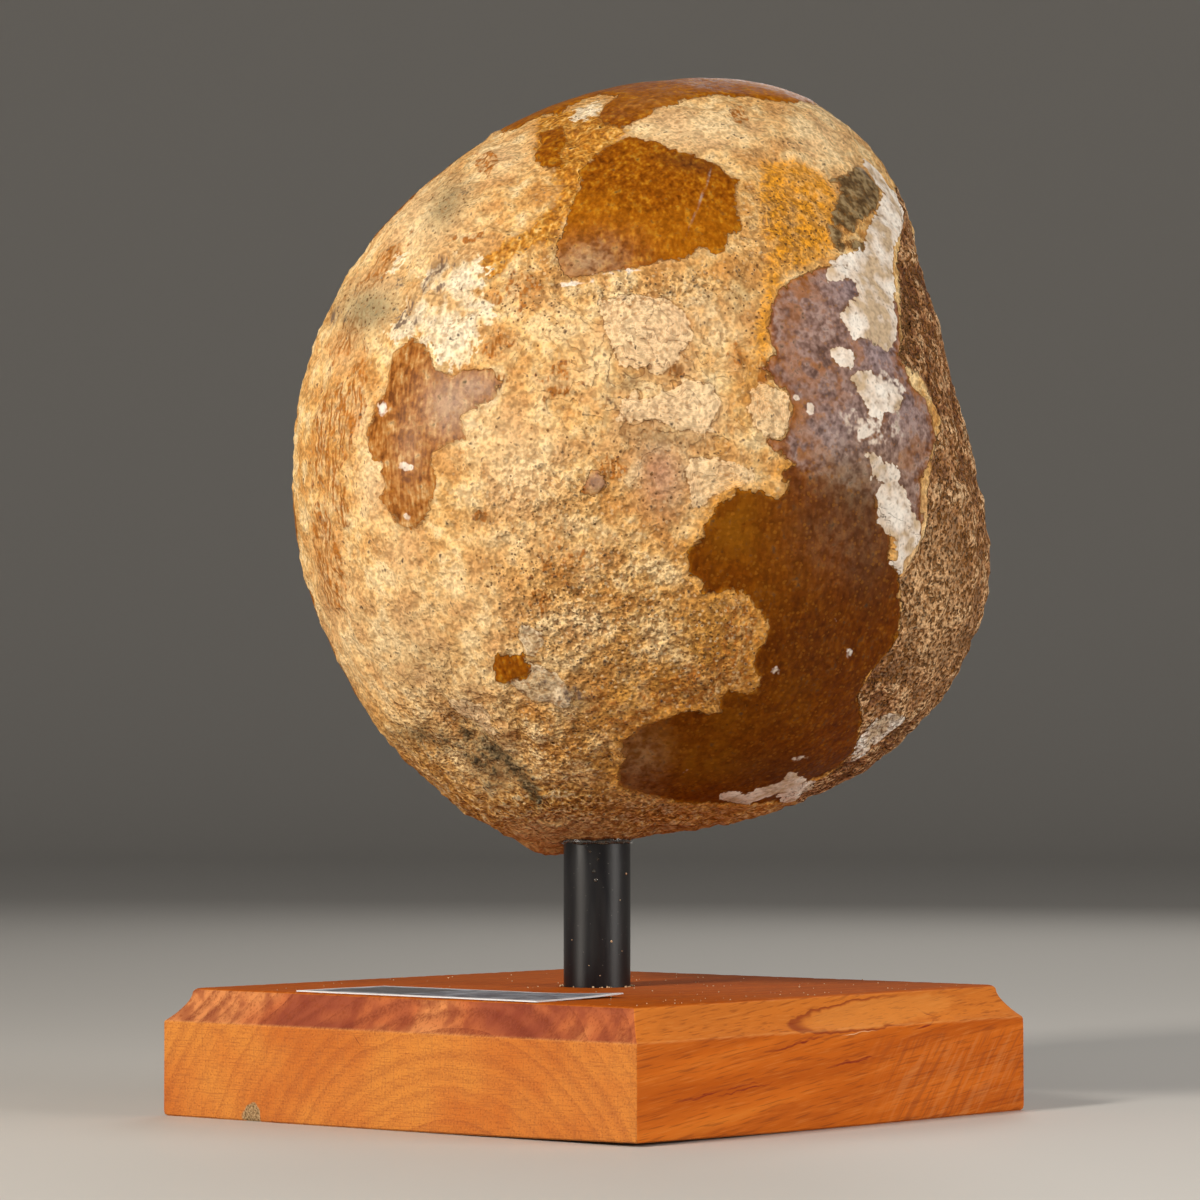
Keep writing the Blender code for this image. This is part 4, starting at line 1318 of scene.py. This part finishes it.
def spongy_colour(n):
    """Spongy bone: tan crumbs round hollows that are darkened as painted shade."""
    tone = n.muladd(n.blotch, 0.6, n.minus(n.attribute("caves"), 0.42))
    colour = n.ramp(n.muladd(n.tint, 0.24, tone), *SPONGY_TONES)
    colour = n.mix(n.times(n.creamy, 0.75), colour, PALE_SPONGE)
    # Painted shade in the hollows, at the low spots of the grain where the bump sinks pits
    hollow = n.times(n.step(n.muladd(n.pick, 0.30, n.grain), 0.63, 0.50), n.on_spongy)
    depth = n.step(n.creamy, 0.0, 1.0, 0.80, 0.50)
    return n.mix(n.times(hollow, depth), colour, HOLLOW_SHADE)


def grainy_colour(n, colour, coloured, on_flat):
    """Light and dark grains, painted shade and light on the grain relief, cracks, specks, dashes, and
    painted shade in the gaps and dents.
    """
    # Painted shade in the dips of the grain relief and painted light on its crests, from the same grain
    # noise that the bump raises
    darkest = n.muladd(n.scatter, -0.22, 0.78)
    colour = n.scaled(colour, n.blend(n.step(n.grain, 0.32, 0.66), darkest, 1.24))
    pale_share = n.muladd(coloured, -0.45, 0.60)
    colour = n.mix(n.times(n.pale_grain, n.scatter, pale_share), colour, PALE_GRAIN)
    rusty_share = n.muladd(n.scatter, 0.35, 0.25)
    colour = n.mix(n.times(n.rusty_grain, rusty_share), colour, RUSTY_GRAIN)
    # Painted shade in the gaps between grains
    colour = n.mix(n.times(n.gap, n.scatter, 0.62), colour, GAP_SHADE)
    colour = n.mix(n.times(n.cracks, 0.75), colour, CRACK_BROWN)
    colour = n.mix(n.times(n.speck, n.minus(0.85, n.times(on_flat, 0.6))), colour, SPECK_BROWN)
    dashed = n.times(n.stained("dashes", 0.20, 0.70, 1.8), n.step(n.streak, 0.56, 0.44, 0.25, 0.9))
    colour = n.mix(dashed, colour, DASH_GREY)
    # Painted shade in the dents, darkest at the low spots of the grain
    return n.mix(n.times(n.attribute("sunk"), n.step(n.grain, 0.35, 0.60, 0.9, 0.4)), colour, DENT_SHADE)


def skin_colour(n):
    """Brown satin skin of the joint: amber above, deep brown below, lilac at the right."""
    amber = n.ramp(n.brushed, *AMBER_TONES)
    amber = n.mix(n.step(n.attribute("broad"), 0.46, 0.66, 0.0, 0.25), amber, LIGHT_AMBER)
    amber = n.mix(n.times(n.attribute("far"), 0.7), amber, FAR_AMBER)
    deep = n.ramp(n.brushed, *DEEP_TONES)
    deep = n.mix(n.times(n.attribute("tawny"), n.step(n.mottle, 0.35, 0.60, 0.5, 1.0)), deep, TAWNY)
    colour = n.mix(n.step(n.attribute("low_skin"), -1.0, 1.0), amber, deep)
    # Lilac skin, turning to bluish tones that are partly painted sheen
    mauve = n.mix(n.attribute("bluish_and_sheen"), n.ramp(n.clouded, *MAUVE_TONES), n.ramp(n.clouded, *BLUISH_AND_SHEEN_TONES))
    russet = n.times(n.attribute("russet"), n.step(n.mottle, 0.40, 0.58))
    mauve = n.mix(n.most(russet, n.step(n.mottle, 0.58, 0.74, 0.0, 0.5)), mauve, RUSSET)
    colour = n.mix(n.torn("lilac", 1.2, -1.0, 2.5), colour, mauve)
    colour = n.mix(n.times(n.attribute("dusky"), 0.8), colour, DUSK_BROWN)
    on_brown = n.attribute("brown")
    colour = n.mix(n.step(on_brown, -1.0, 0.6), colour, n.ramp(n.brushed, *HIDE_TONES))
    ash = n.mix(n.step(on_brown, -1.0, 1.0, 0.0, 0.5), n.ramp(n.clouded, *ASH_TONES), PALE_ASH)
    colour = n.mix(n.times(n.attribute("ashen"), 0.75), colour, ash)
    colour = n.mix(n.torn("olive", 0.7, -0.4, 0.4), colour, n.ramp(n.clouded, *OLIVE_TONES))
    colour = n.scaled(colour, n.step(n.light, 0.0, 1.0, 0.88, 1.12))
    colour = n.mix(n.times(n.rusty_grain, 0.20), colour, SKIN_GRAIN)
    colour = n.mix(n.times(n.speck, 0.45), colour, SKIN_SPECK)
    scratch = n.times(n.step(n.attribute("scratch"), 0.40, 0.85), n.step(n.grain, 0.40, 0.60, 0.15, 0.55))
    return n.mix(scratch, colour, SCRATCH_GREY)


def edged_colour(n, colour):
    """Painted shadow: dark lines just outside the edges of the skin and of the standing flakes."""
    edge_shadow = n.minus(n.ragged("skin", 1.0, 0.15, 0.40), n.on_skin)
    colour = n.mix(n.times(edge_shadow, n.step(n.blotch, 0.40, 0.60, 0.80, 0.15)), colour, EDGE_SHADOW)
    flake_shadow = n.minus(n.ragged("slabs", 0.8, 0.15, 0.35), n.on_slab)
    return n.mix(n.times(flake_shadow, n.step(n.grain, 0.35, 0.60, 0.80, 0.2)), colour, FLAKE_EDGE_SHADOW)


def crust_colour(n):
    """Pale crust with holes, with painted shade in the dips of its grain relief and in the holes, and
    painted light on its crests.
    """
    colour = n.ramp(n.mottle, *CRUST_TONES)
    colour = n.mix(n.times(n.attribute("dusky"), 0.7), colour, CRUST_SHADE)
    # Painted shade in the dips of the grain relief and painted light on its crests
    colour = n.scaled(colour, n.step(n.grain, 0.30, 0.70, 0.82, 1.12))
    colour = n.mix(n.times(n.speck, 0.6), colour, CRUST_SPECK)
    return n.mix(n.step(n.grain, 0.40, 0.28, 0.0, 0.5), colour, CRUST_HOLE_SHADE)


def bone_relief(n):
    """Relief finer than the mesh, in millimetres."""
    rough_part = n.minus(n.muladd(n.on_skin, -0.85, 1.0), n.times(n.on_slab, 0.45))
    crumbly = n.times(n.muladd(n.scatter, 1.40, 0.15), rough_part)
    relief = n.times(n.muladd(n.grain, 1.25, n.times(n.blotch, 1.4)), crumbly)
    relief = n.muladd(n.layers, 0.35, relief)
    relief = n.muladd(n.ragged("raised"), 0.40, relief)
    relief = n.muladd(n.on_slab, 0.35, relief)
    pit = n.times(n.step(n.grain, 0.48, 0.36), n.on_spongy)
    return n.muladd(pit, -0.50, relief)


def bone_material():
    n = BoneNodes()
    worn, coloured, on_flat = tinted_colour(n, worn_colour(n))
    worn = n.mix(n.on_spongy, worn, spongy_colour(n))
    worn = grainy_colour(n, worn, coloured, on_flat)
    colour = edged_colour(n, n.mix(n.on_skin, worn, skin_colour(n)))
    crusted = n.most(n.on_crust, n.times(n.stained("flecked", 0.40, 0.62), 0.85))
    colour = n.mix(crusted, colour, crust_colour(n))
    dirty = n.times(n.stained("dirt", 0.15, 0.75, 1.5), n.step(n.light, 0.2, 0.9, 0.92, 0.65))
    colour = n.mix(dirty, colour, DIRT_BLACK)
    matt = n.step(n.grain, 0.3, 0.7, 0.95, 0.80)
    satin = n.step(n.streak, 0.3, 0.7, 0.38, 0.56)
    rough = n.blend(n.on_crust, n.blend(n.on_skin, matt, satin), 0.74)
    return n.finish(Base_Color=colour, Roughness=rough, Normal=n.bump(bone_relief(n)),
                    Specular_IOR_Level=0.06, Specular_Tint=WARM_GLOSS)


class WoodNodes(Nodes):
    """The block's nodes: where its growth rings and its faces are."""

    def __init__(self):
        super().__init__("cherry_wood")
        self.x, self.y, self.z = self.parts(self.object_space)
        self.sway = self.noise(22 * MM, 2, 0.5)
        self.find_rings()
        self.on_top = self.step(self.z, BASE_HEIGHT - 0.5 * MM, BASE_HEIGHT - 0.2 * MM)
        below = self.rest(self.on_top)
        past_corner = self.minus(self.math("ABSOLUTE", self.y), self.math("ABSOLUTE", self.x))
        self.end = self.times(self.step(past_corner, -0.1 * MM, 0.1 * MM), below)
        self.cove = self.times(self.step(self.z, COVE_FOOT - 0.2 * MM, COVE_FOOT + 0.3 * MM), below)
        self.flank = self.rest(self.most(self.end, self.on_top))
        self.cove_end = self.times(self.cove, self.end)
        self.rough_end = self.times(self.end, self.rest(self.cove))
        self.saw = self.stretched((5.5 * MM, 5.5 * MM, 0.38 * MM), 2, 0.6)
        self.torn = self.stretched((10 * MM, 18 * MM, 1.5 * MM), 2, 0.6, (math.radians(50), 0, 0))
        torn_zone = self.times(self.step(self.y, 0.004, 0.028), self.step(self.z, 0.0225, 0.0180))
        self.torn_zone = self.times(torn_zone, self.step(self.x, 0.070, 0.074))
        self.wander = self.noise(3.5 * MM, 1, output="Color")

    def find_rings(self):
        """Fibres, bands and dark late wood round a pith that rises along Y."""
        along = self.minus(self.y, RING_CENTRE[1])
        side = self.minus(self.x, RING_CENTRE[0])
        above = self.minus(self.minus(self.z, RING_CENTRE[2]), self.times(along, RING_RISE))
        grain_space = self.joined(side, self.times(along, 0.05), above)
        self.fibre = self.noise(0.55 * MM, 2, 0.6, grain_space)
        self.bands = self.noise(5.0 * MM, 2, 0.5, grain_space)
        distance = self.math("SQRT", self.plus(self.times(side, side), self.times(above, above)))
        distance = self.plus(distance, self.muladd(self.sway, 5.0 * MM, -2.5 * MM))
        turns = self.muladd(distance, 1 / RING_SPACING, -0.35)
        phase = self.math("FRACT", turns)
        crisp = self.times(self.step(phase, 0.50, 0.97), self.step(phase, 1.0, 0.965))
        broad = self.times(self.step(phase, 0.10, 0.60), self.step(phase, 1.0, 0.75))
        strength = self.noise(1.0, 1, 0.5, self.joined(self.times(turns, 0.45), 0.0, 0.0))
        crisp = self.times(crisp, self.step(strength, 0.40, 0.62, 0.15, 0.9))
        broad = self.times(broad, self.step(strength, 0.56, 0.42, 0.1, 0.8))
        self.late = self.times(self.most(crisp, broad), self.step(self.fibre, 0.62, 0.42, 0.45, 1.0))


def wood_colour(n):
    """Long grain, end grain, the darker moulding on the end grain, and the top."""
    long_colour = n.mix(n.times(n.late, 0.35), n.ramp(n.bands, *LONG_TONES), LATE_RED)
    end_colour = n.mix(n.times(n.late, 0.50), n.ramp(n.sway, *END_TONES), LATE_BROWN)
    colour = n.mix(n.end, long_colour, end_colour)
    # The moulding's end grain drank more of the finish
    stained = n.mix(n.step(n.bands, 0.55, 0.35, 0.0, 0.6), n.ramp(n.sway, *COVE_TONES), COVE_BAND)
    stained = n.mix(n.times(n.late, 0.7), stained, COVE_LATE)
    colour = n.mix(n.cove_end, colour, stained)
    colour = n.mix(n.times(n.times(n.cove, n.flank), 0.45), colour, COVE_LIGHT)
    banded = n.most(n.times(n.late, 0.6), n.step(n.bands, 0.40, 0.64, 0.0, 0.6))
    colour = n.mix(n.times(n.on_top, 0.75), colour, n.mix(banded, TOP_RED, TOP_DARK))
    colour = n.mix(n.step(n.fibre, 0.46, 0.32, 0.0, 0.50), colour, DARK_FIBRE)
    pale_fibre = n.times(n.step(n.fibre, 0.56, 0.72, 0.0, 0.20), n.rest(n.cove_end))
    return n.mix(pale_fibre, colour, PALE_FIBRE)


def sawn_colour(n, colour):
    """Saw marks on the end grain, and torn fibres at the far end of the +X face."""
    ray = n.stretched((0.48 * MM, 0.48 * MM, 6.0 * MM), 1, 0.5)
    colour = n.mix(n.times(n.rough_end, n.step(n.saw, 0.50, 0.34, 0.0, 0.38)), colour, SAW_BROWN)
    colour = n.mix(n.times(n.rough_end, n.step(ray, 0.48, 0.32, 0.0, 0.20)), colour, RAY_BROWN)
    colour = n.mix(n.times(n.torn_zone, n.step(n.torn, 0.50, 0.64, 0.0, 0.20)), colour, TORN_PALE)
    return n.mix(n.times(n.torn_zone, n.step(n.torn, 0.46, 0.36, 0.0, 0.45)), colour, TORN_DARK)


def marked_colour(n, colour):
    """Gum streaks, the flame of sapwood, a scratch, a check and the bark in the chip."""
    moved = n.shifted(n.wander, 0.9 * MM)
    for place, height, half_length, half_width, degrees in GUM_STREAKS:
        streak = n.lens((BASE_SIDE / 2, place, height), (4.5 * MM, half_length, half_width),
                        (math.radians(degrees), 0, 0), moved)
        streak = n.times(streak, n.step(n.fibre, 0.62, 0.42, 0.35, 1.0))
        colour = n.mix(streak, colour, GUM_RED)
    flame = n.oval(FLAME_CENTRE, FLAME_HALVES, (math.radians(3), 0, 0), n.shifted(n.wander, 0.8 * MM))
    on_flame = n.times(n.step(n.x, 0.066, 0.070), n.step(n.z, 0.0212, 0.0228))
    colour = n.mix(n.times(n.step(flame, 1.0, 0.7, 0.0, 0.35), on_flame), colour, FLAME_ORANGE)
    line = n.times(n.step(flame, 0.80, 0.97), n.step(flame, 1.04, 0.99), on_flame)
    line = n.times(line, n.step(n.y, FLAME_CENTRE[1] + 16 * MM, FLAME_CENTRE[1] - 8 * MM, 0.10, 0.75))
    colour = n.mix(line, colour, FLAME_LINE)
    for place, halves, turn, tone in WOOD_MARKS:
        colour = n.mix(n.times(n.lens(place, halves, turn, moved), 0.7), colour, tone)
    knot = n.lens(CHIP, (4.4 * MM, 3 * MM, 3.4 * MM), (0, 0, 0), n.shifted(n.wander, 2.4 * MM))
    colour = n.mix(n.step(knot, 0.2, 0.6), colour, n.ramp(n.fibre, *BARK_TONES))
    # Worn arris, pale where the finish is gone
    under = n.step(n.z, COVE_FOOT - 0.5 * MM, COVE_FOOT)
    over = n.step(n.z, COVE_FOOT + 0.6 * MM, COVE_FOOT + 0.1 * MM)
    arris = n.times(under, over, n.step(n.fibre, 0.40, 0.60, 0.15, 0.75))
    return n.mix(n.times(arris, 0.35), colour, ARRIS_PALE)


def wood_material():
    """Cherry whose growth rings run along Y: end grain on the Y faces, long grain elsewhere."""
    n = WoodNodes()
    colour = marked_colour(n, sawn_colour(n, wood_colour(n)))
    rough = n.step(n.fibre, 0.3, 0.7, 0.58, 0.42)
    for part, roughness in ((n.rough_end, 0.66), (n.cove, 0.36), (n.on_top, 0.80)):
        rough = n.blend(part, rough, roughness)
    relief = n.muladd(n.late, -0.05, n.times(n.fibre, 0.06))
    relief = n.muladd(n.times(n.rough_end, n.saw), 0.12, relief)
    relief = n.muladd(n.times(n.torn_zone, n.torn), 0.16, relief)
    return n.finish(Base_Color=colour, Roughness=rough, Normal=n.bump(relief), Specular_IOR_Level=0.08,
                    Specular_Tint=WARM_GLOSS)


def paint_material():
    n = Nodes("black_satin_paint")
    runs = n.stretched((2.4 * MM, 2.4 * MM, 17 * MM), 2, 0.5)
    dust = n.grains(1.6 * MM)[0]
    colour = n.mix(n.step(dust, 0.10, 0.05, 0.0, 0.35), n.ramp(runs, *PAINT_TONES), DUST_GREY)
    relief = n.muladd(runs, 0.05, n.times(n.noise(0.6 * MM, 1), 0.012))
    return n.finish(Base_Color=colour, Roughness=n.step(runs, 0.30, 0.70, 0.28, 0.40), Normal=n.bump(relief),
                    Specular_IOR_Level=0.45)


def glue_material():
    n = Nodes("clear_glue")
    ripple = n.noise(1.2 * MM, 2)
    return n.finish(Base_Color=n.ramp(ripple, *GLUE_TONES), Roughness=n.step(ripple, 0.3, 0.7, 0.05, 0.14),
                    Normal=n.bump(n.times(ripple, 0.25)), Transmission_Weight=0.95, IOR=1.47)


def card_material():
    """White card round a printed panel with plain ruled lines and a plain block."""
    n = Nodes("label_card")
    x, y, _ = n.parts(n.mapped(location=(*LABEL_CENTRE, 0.0), rotation=(0.0, 0.0, LABEL_TURN)))
    length, width = LABEL_SIZE
    from_end = n.minus(length / 2, n.math("ABSOLUTE", x))
    from_side = n.minus(width / 2, n.math("ABSOLUTE", y))
    mottle = n.noise(5 * MM, 3, 0.6)
    fleck = n.noise(0.5 * MM, 2, 0.6)
    colour = n.ramp(mottle, *PRINT_TONES)
    rows = n.step(n.math("SINE", n.times(y, math.tau / RULE_SPACING)), 0.62, 0.80)
    ends = n.times(n.step(x, -4 * MM, -3.5 * MM), n.step(from_end, 5.0 * MM, 5.5 * MM))
    ends = n.times(ends, n.step(from_side, 3.0 * MM, 3.3 * MM))
    colour = n.mix(n.times(n.times(rows, ends), 0.75), colour, RULE_INK)
    block = n.times(n.step(x, -8 * MM, -8.4 * MM), n.step(from_end, 4.6 * MM, 5.0 * MM))
    block = n.times(block, n.step(from_side, 4.4 * MM, 4.8 * MM))
    colour = n.mix(n.times(block, 0.85), colour, BLOCK_INK)
    panel = n.step(n.math("MINIMUM", from_end, from_side), 1.3 * MM, 1.6 * MM)
    colour = n.mix(panel, CARD_WHITE, colour)
    colour = n.mix(n.step(fleck, 0.42, 0.30, 0.0, 0.25), colour, CARD_FLECK)
    return n.finish(Base_Color=colour, Roughness=n.step(fleck, 0.3, 0.7, 0.42, 0.60),
                    Normal=n.bump(n.times(fleck, 0.02)))


def dust_material():
    n = Nodes("pale_dust")
    mottle = n.noise(0.4 * MM, 2)
    return n.finish(Base_Color=n.ramp(mottle, *DUST_TONES), Roughness=n.step(mottle, 0.3, 0.7, 0.75, 0.95),
                    Normal=n.bump(n.times(mottle, 0.1)))


# ---------------------------------------------------------------- stage

def sideways(angle, distance, height):
    """A place round the object: degrees to the right of the camera, as seen from it."""
    turn = FRONT_TURN + math.radians(angle)
    return Vector((distance * math.sin(turn), -distance * math.cos(turn), height))


def add_light(name, place, size, power, colour):
    data = bpy.data.lights.new(name, "AREA")
    data.shape = "RECTANGLE"
    data.size, data.size_y = size
    data.energy = power
    data.color = colour
    lamp = bpy.data.objects.new(name, data)
    bpy.context.collection.objects.link(lamp)
    lamp.location = sideways(*place)
    target = Vector((0.0, 0.0, 0.15))
    lamp.rotation_euler = (target - lamp.location).to_track_quat("-Z", "Y").to_euler()


def make_stage():
    """A pale floor that curves up all round, far outside the object."""
    steps = [(0.3, 0.0), (1.0, 0.0), (FLOOR_FLAT, 0.0)]
    steps += [(FLOOR_FLAT + FLOOR_BEND * math.sin(a), FLOOR_BEND * (1 - math.cos(a)))
              for a in (math.radians(degrees) for degrees in range(10, 100, 10))]
    steps.append((FLOOR_FLAT + FLOOR_BEND, FLOOR_TOP))
    bm = bmesh.new()
    rows = join_rings(bm, [round_ring(radius, height) for radius, height in steps])
    bm.faces.new(rows[0])
    mesh = finished(bm, "floor")
    floor = bpy.data.objects.new("floor", mesh)
    bpy.context.collection.objects.link(floor)
    n = Nodes("pale_floor")
    mesh.materials.append(n.finish(Base_Color=FLOOR_GREY, Roughness=0.6, Specular_IOR_Level=0.3))


def make_lights():
    for name, place, size, power, colour in LIGHTS:
        add_light(name, place, size, power, colour)
    scene = bpy.context.scene
    world = bpy.data.worlds.new("studio")
    scene.world = world
    world.use_nodes = True
    shade = world.node_tree.nodes["Background"]
    shade.inputs["Color"].default_value = (1.0, 0.98, 0.95, 1.0)
    shade.inputs["Strength"].default_value = 0.12
    scene.view_settings.view_transform = "Standard"
    # A few lights are sampled faster without the tree, and later bounces add nothing to be seen
    scene.cycles.diffuse_bounces = 2
    scene.cycles.glossy_bounces = 2
    scene.cycles.use_light_tree = False


def make_camera():
    data = bpy.data.cameras.new("camera")
    data.sensor_width = SENSOR
    data.lens = FOCAL_PIXELS / PICTURE * SENSOR
    data.clip_start = 0.05
    data.clip_end = 20.0
    camera = bpy.data.objects.new("camera", data)
    bpy.context.collection.objects.link(camera)
    right = Vector((math.cos(FRONT_TURN), math.sin(FRONT_TURN), 0.0))
    ahead = Vector((-math.sin(FRONT_TURN), math.cos(FRONT_TURN), 0.0))
    camera.location = right * CAMERA_RIGHT - ahead * CAMERA_DISTANCE + Vector((0, 0, CAMERA_HEIGHT))
    camera.rotation_euler = (math.pi / 2 + CAMERA_PITCH, 0.0, FRONT_TURN)
    bpy.context.scene.camera = camera


make_bone()
make_base()
make_post()
make_glue()
make_label()
make_crumbs()
make_stage()
make_lights()
make_camera()
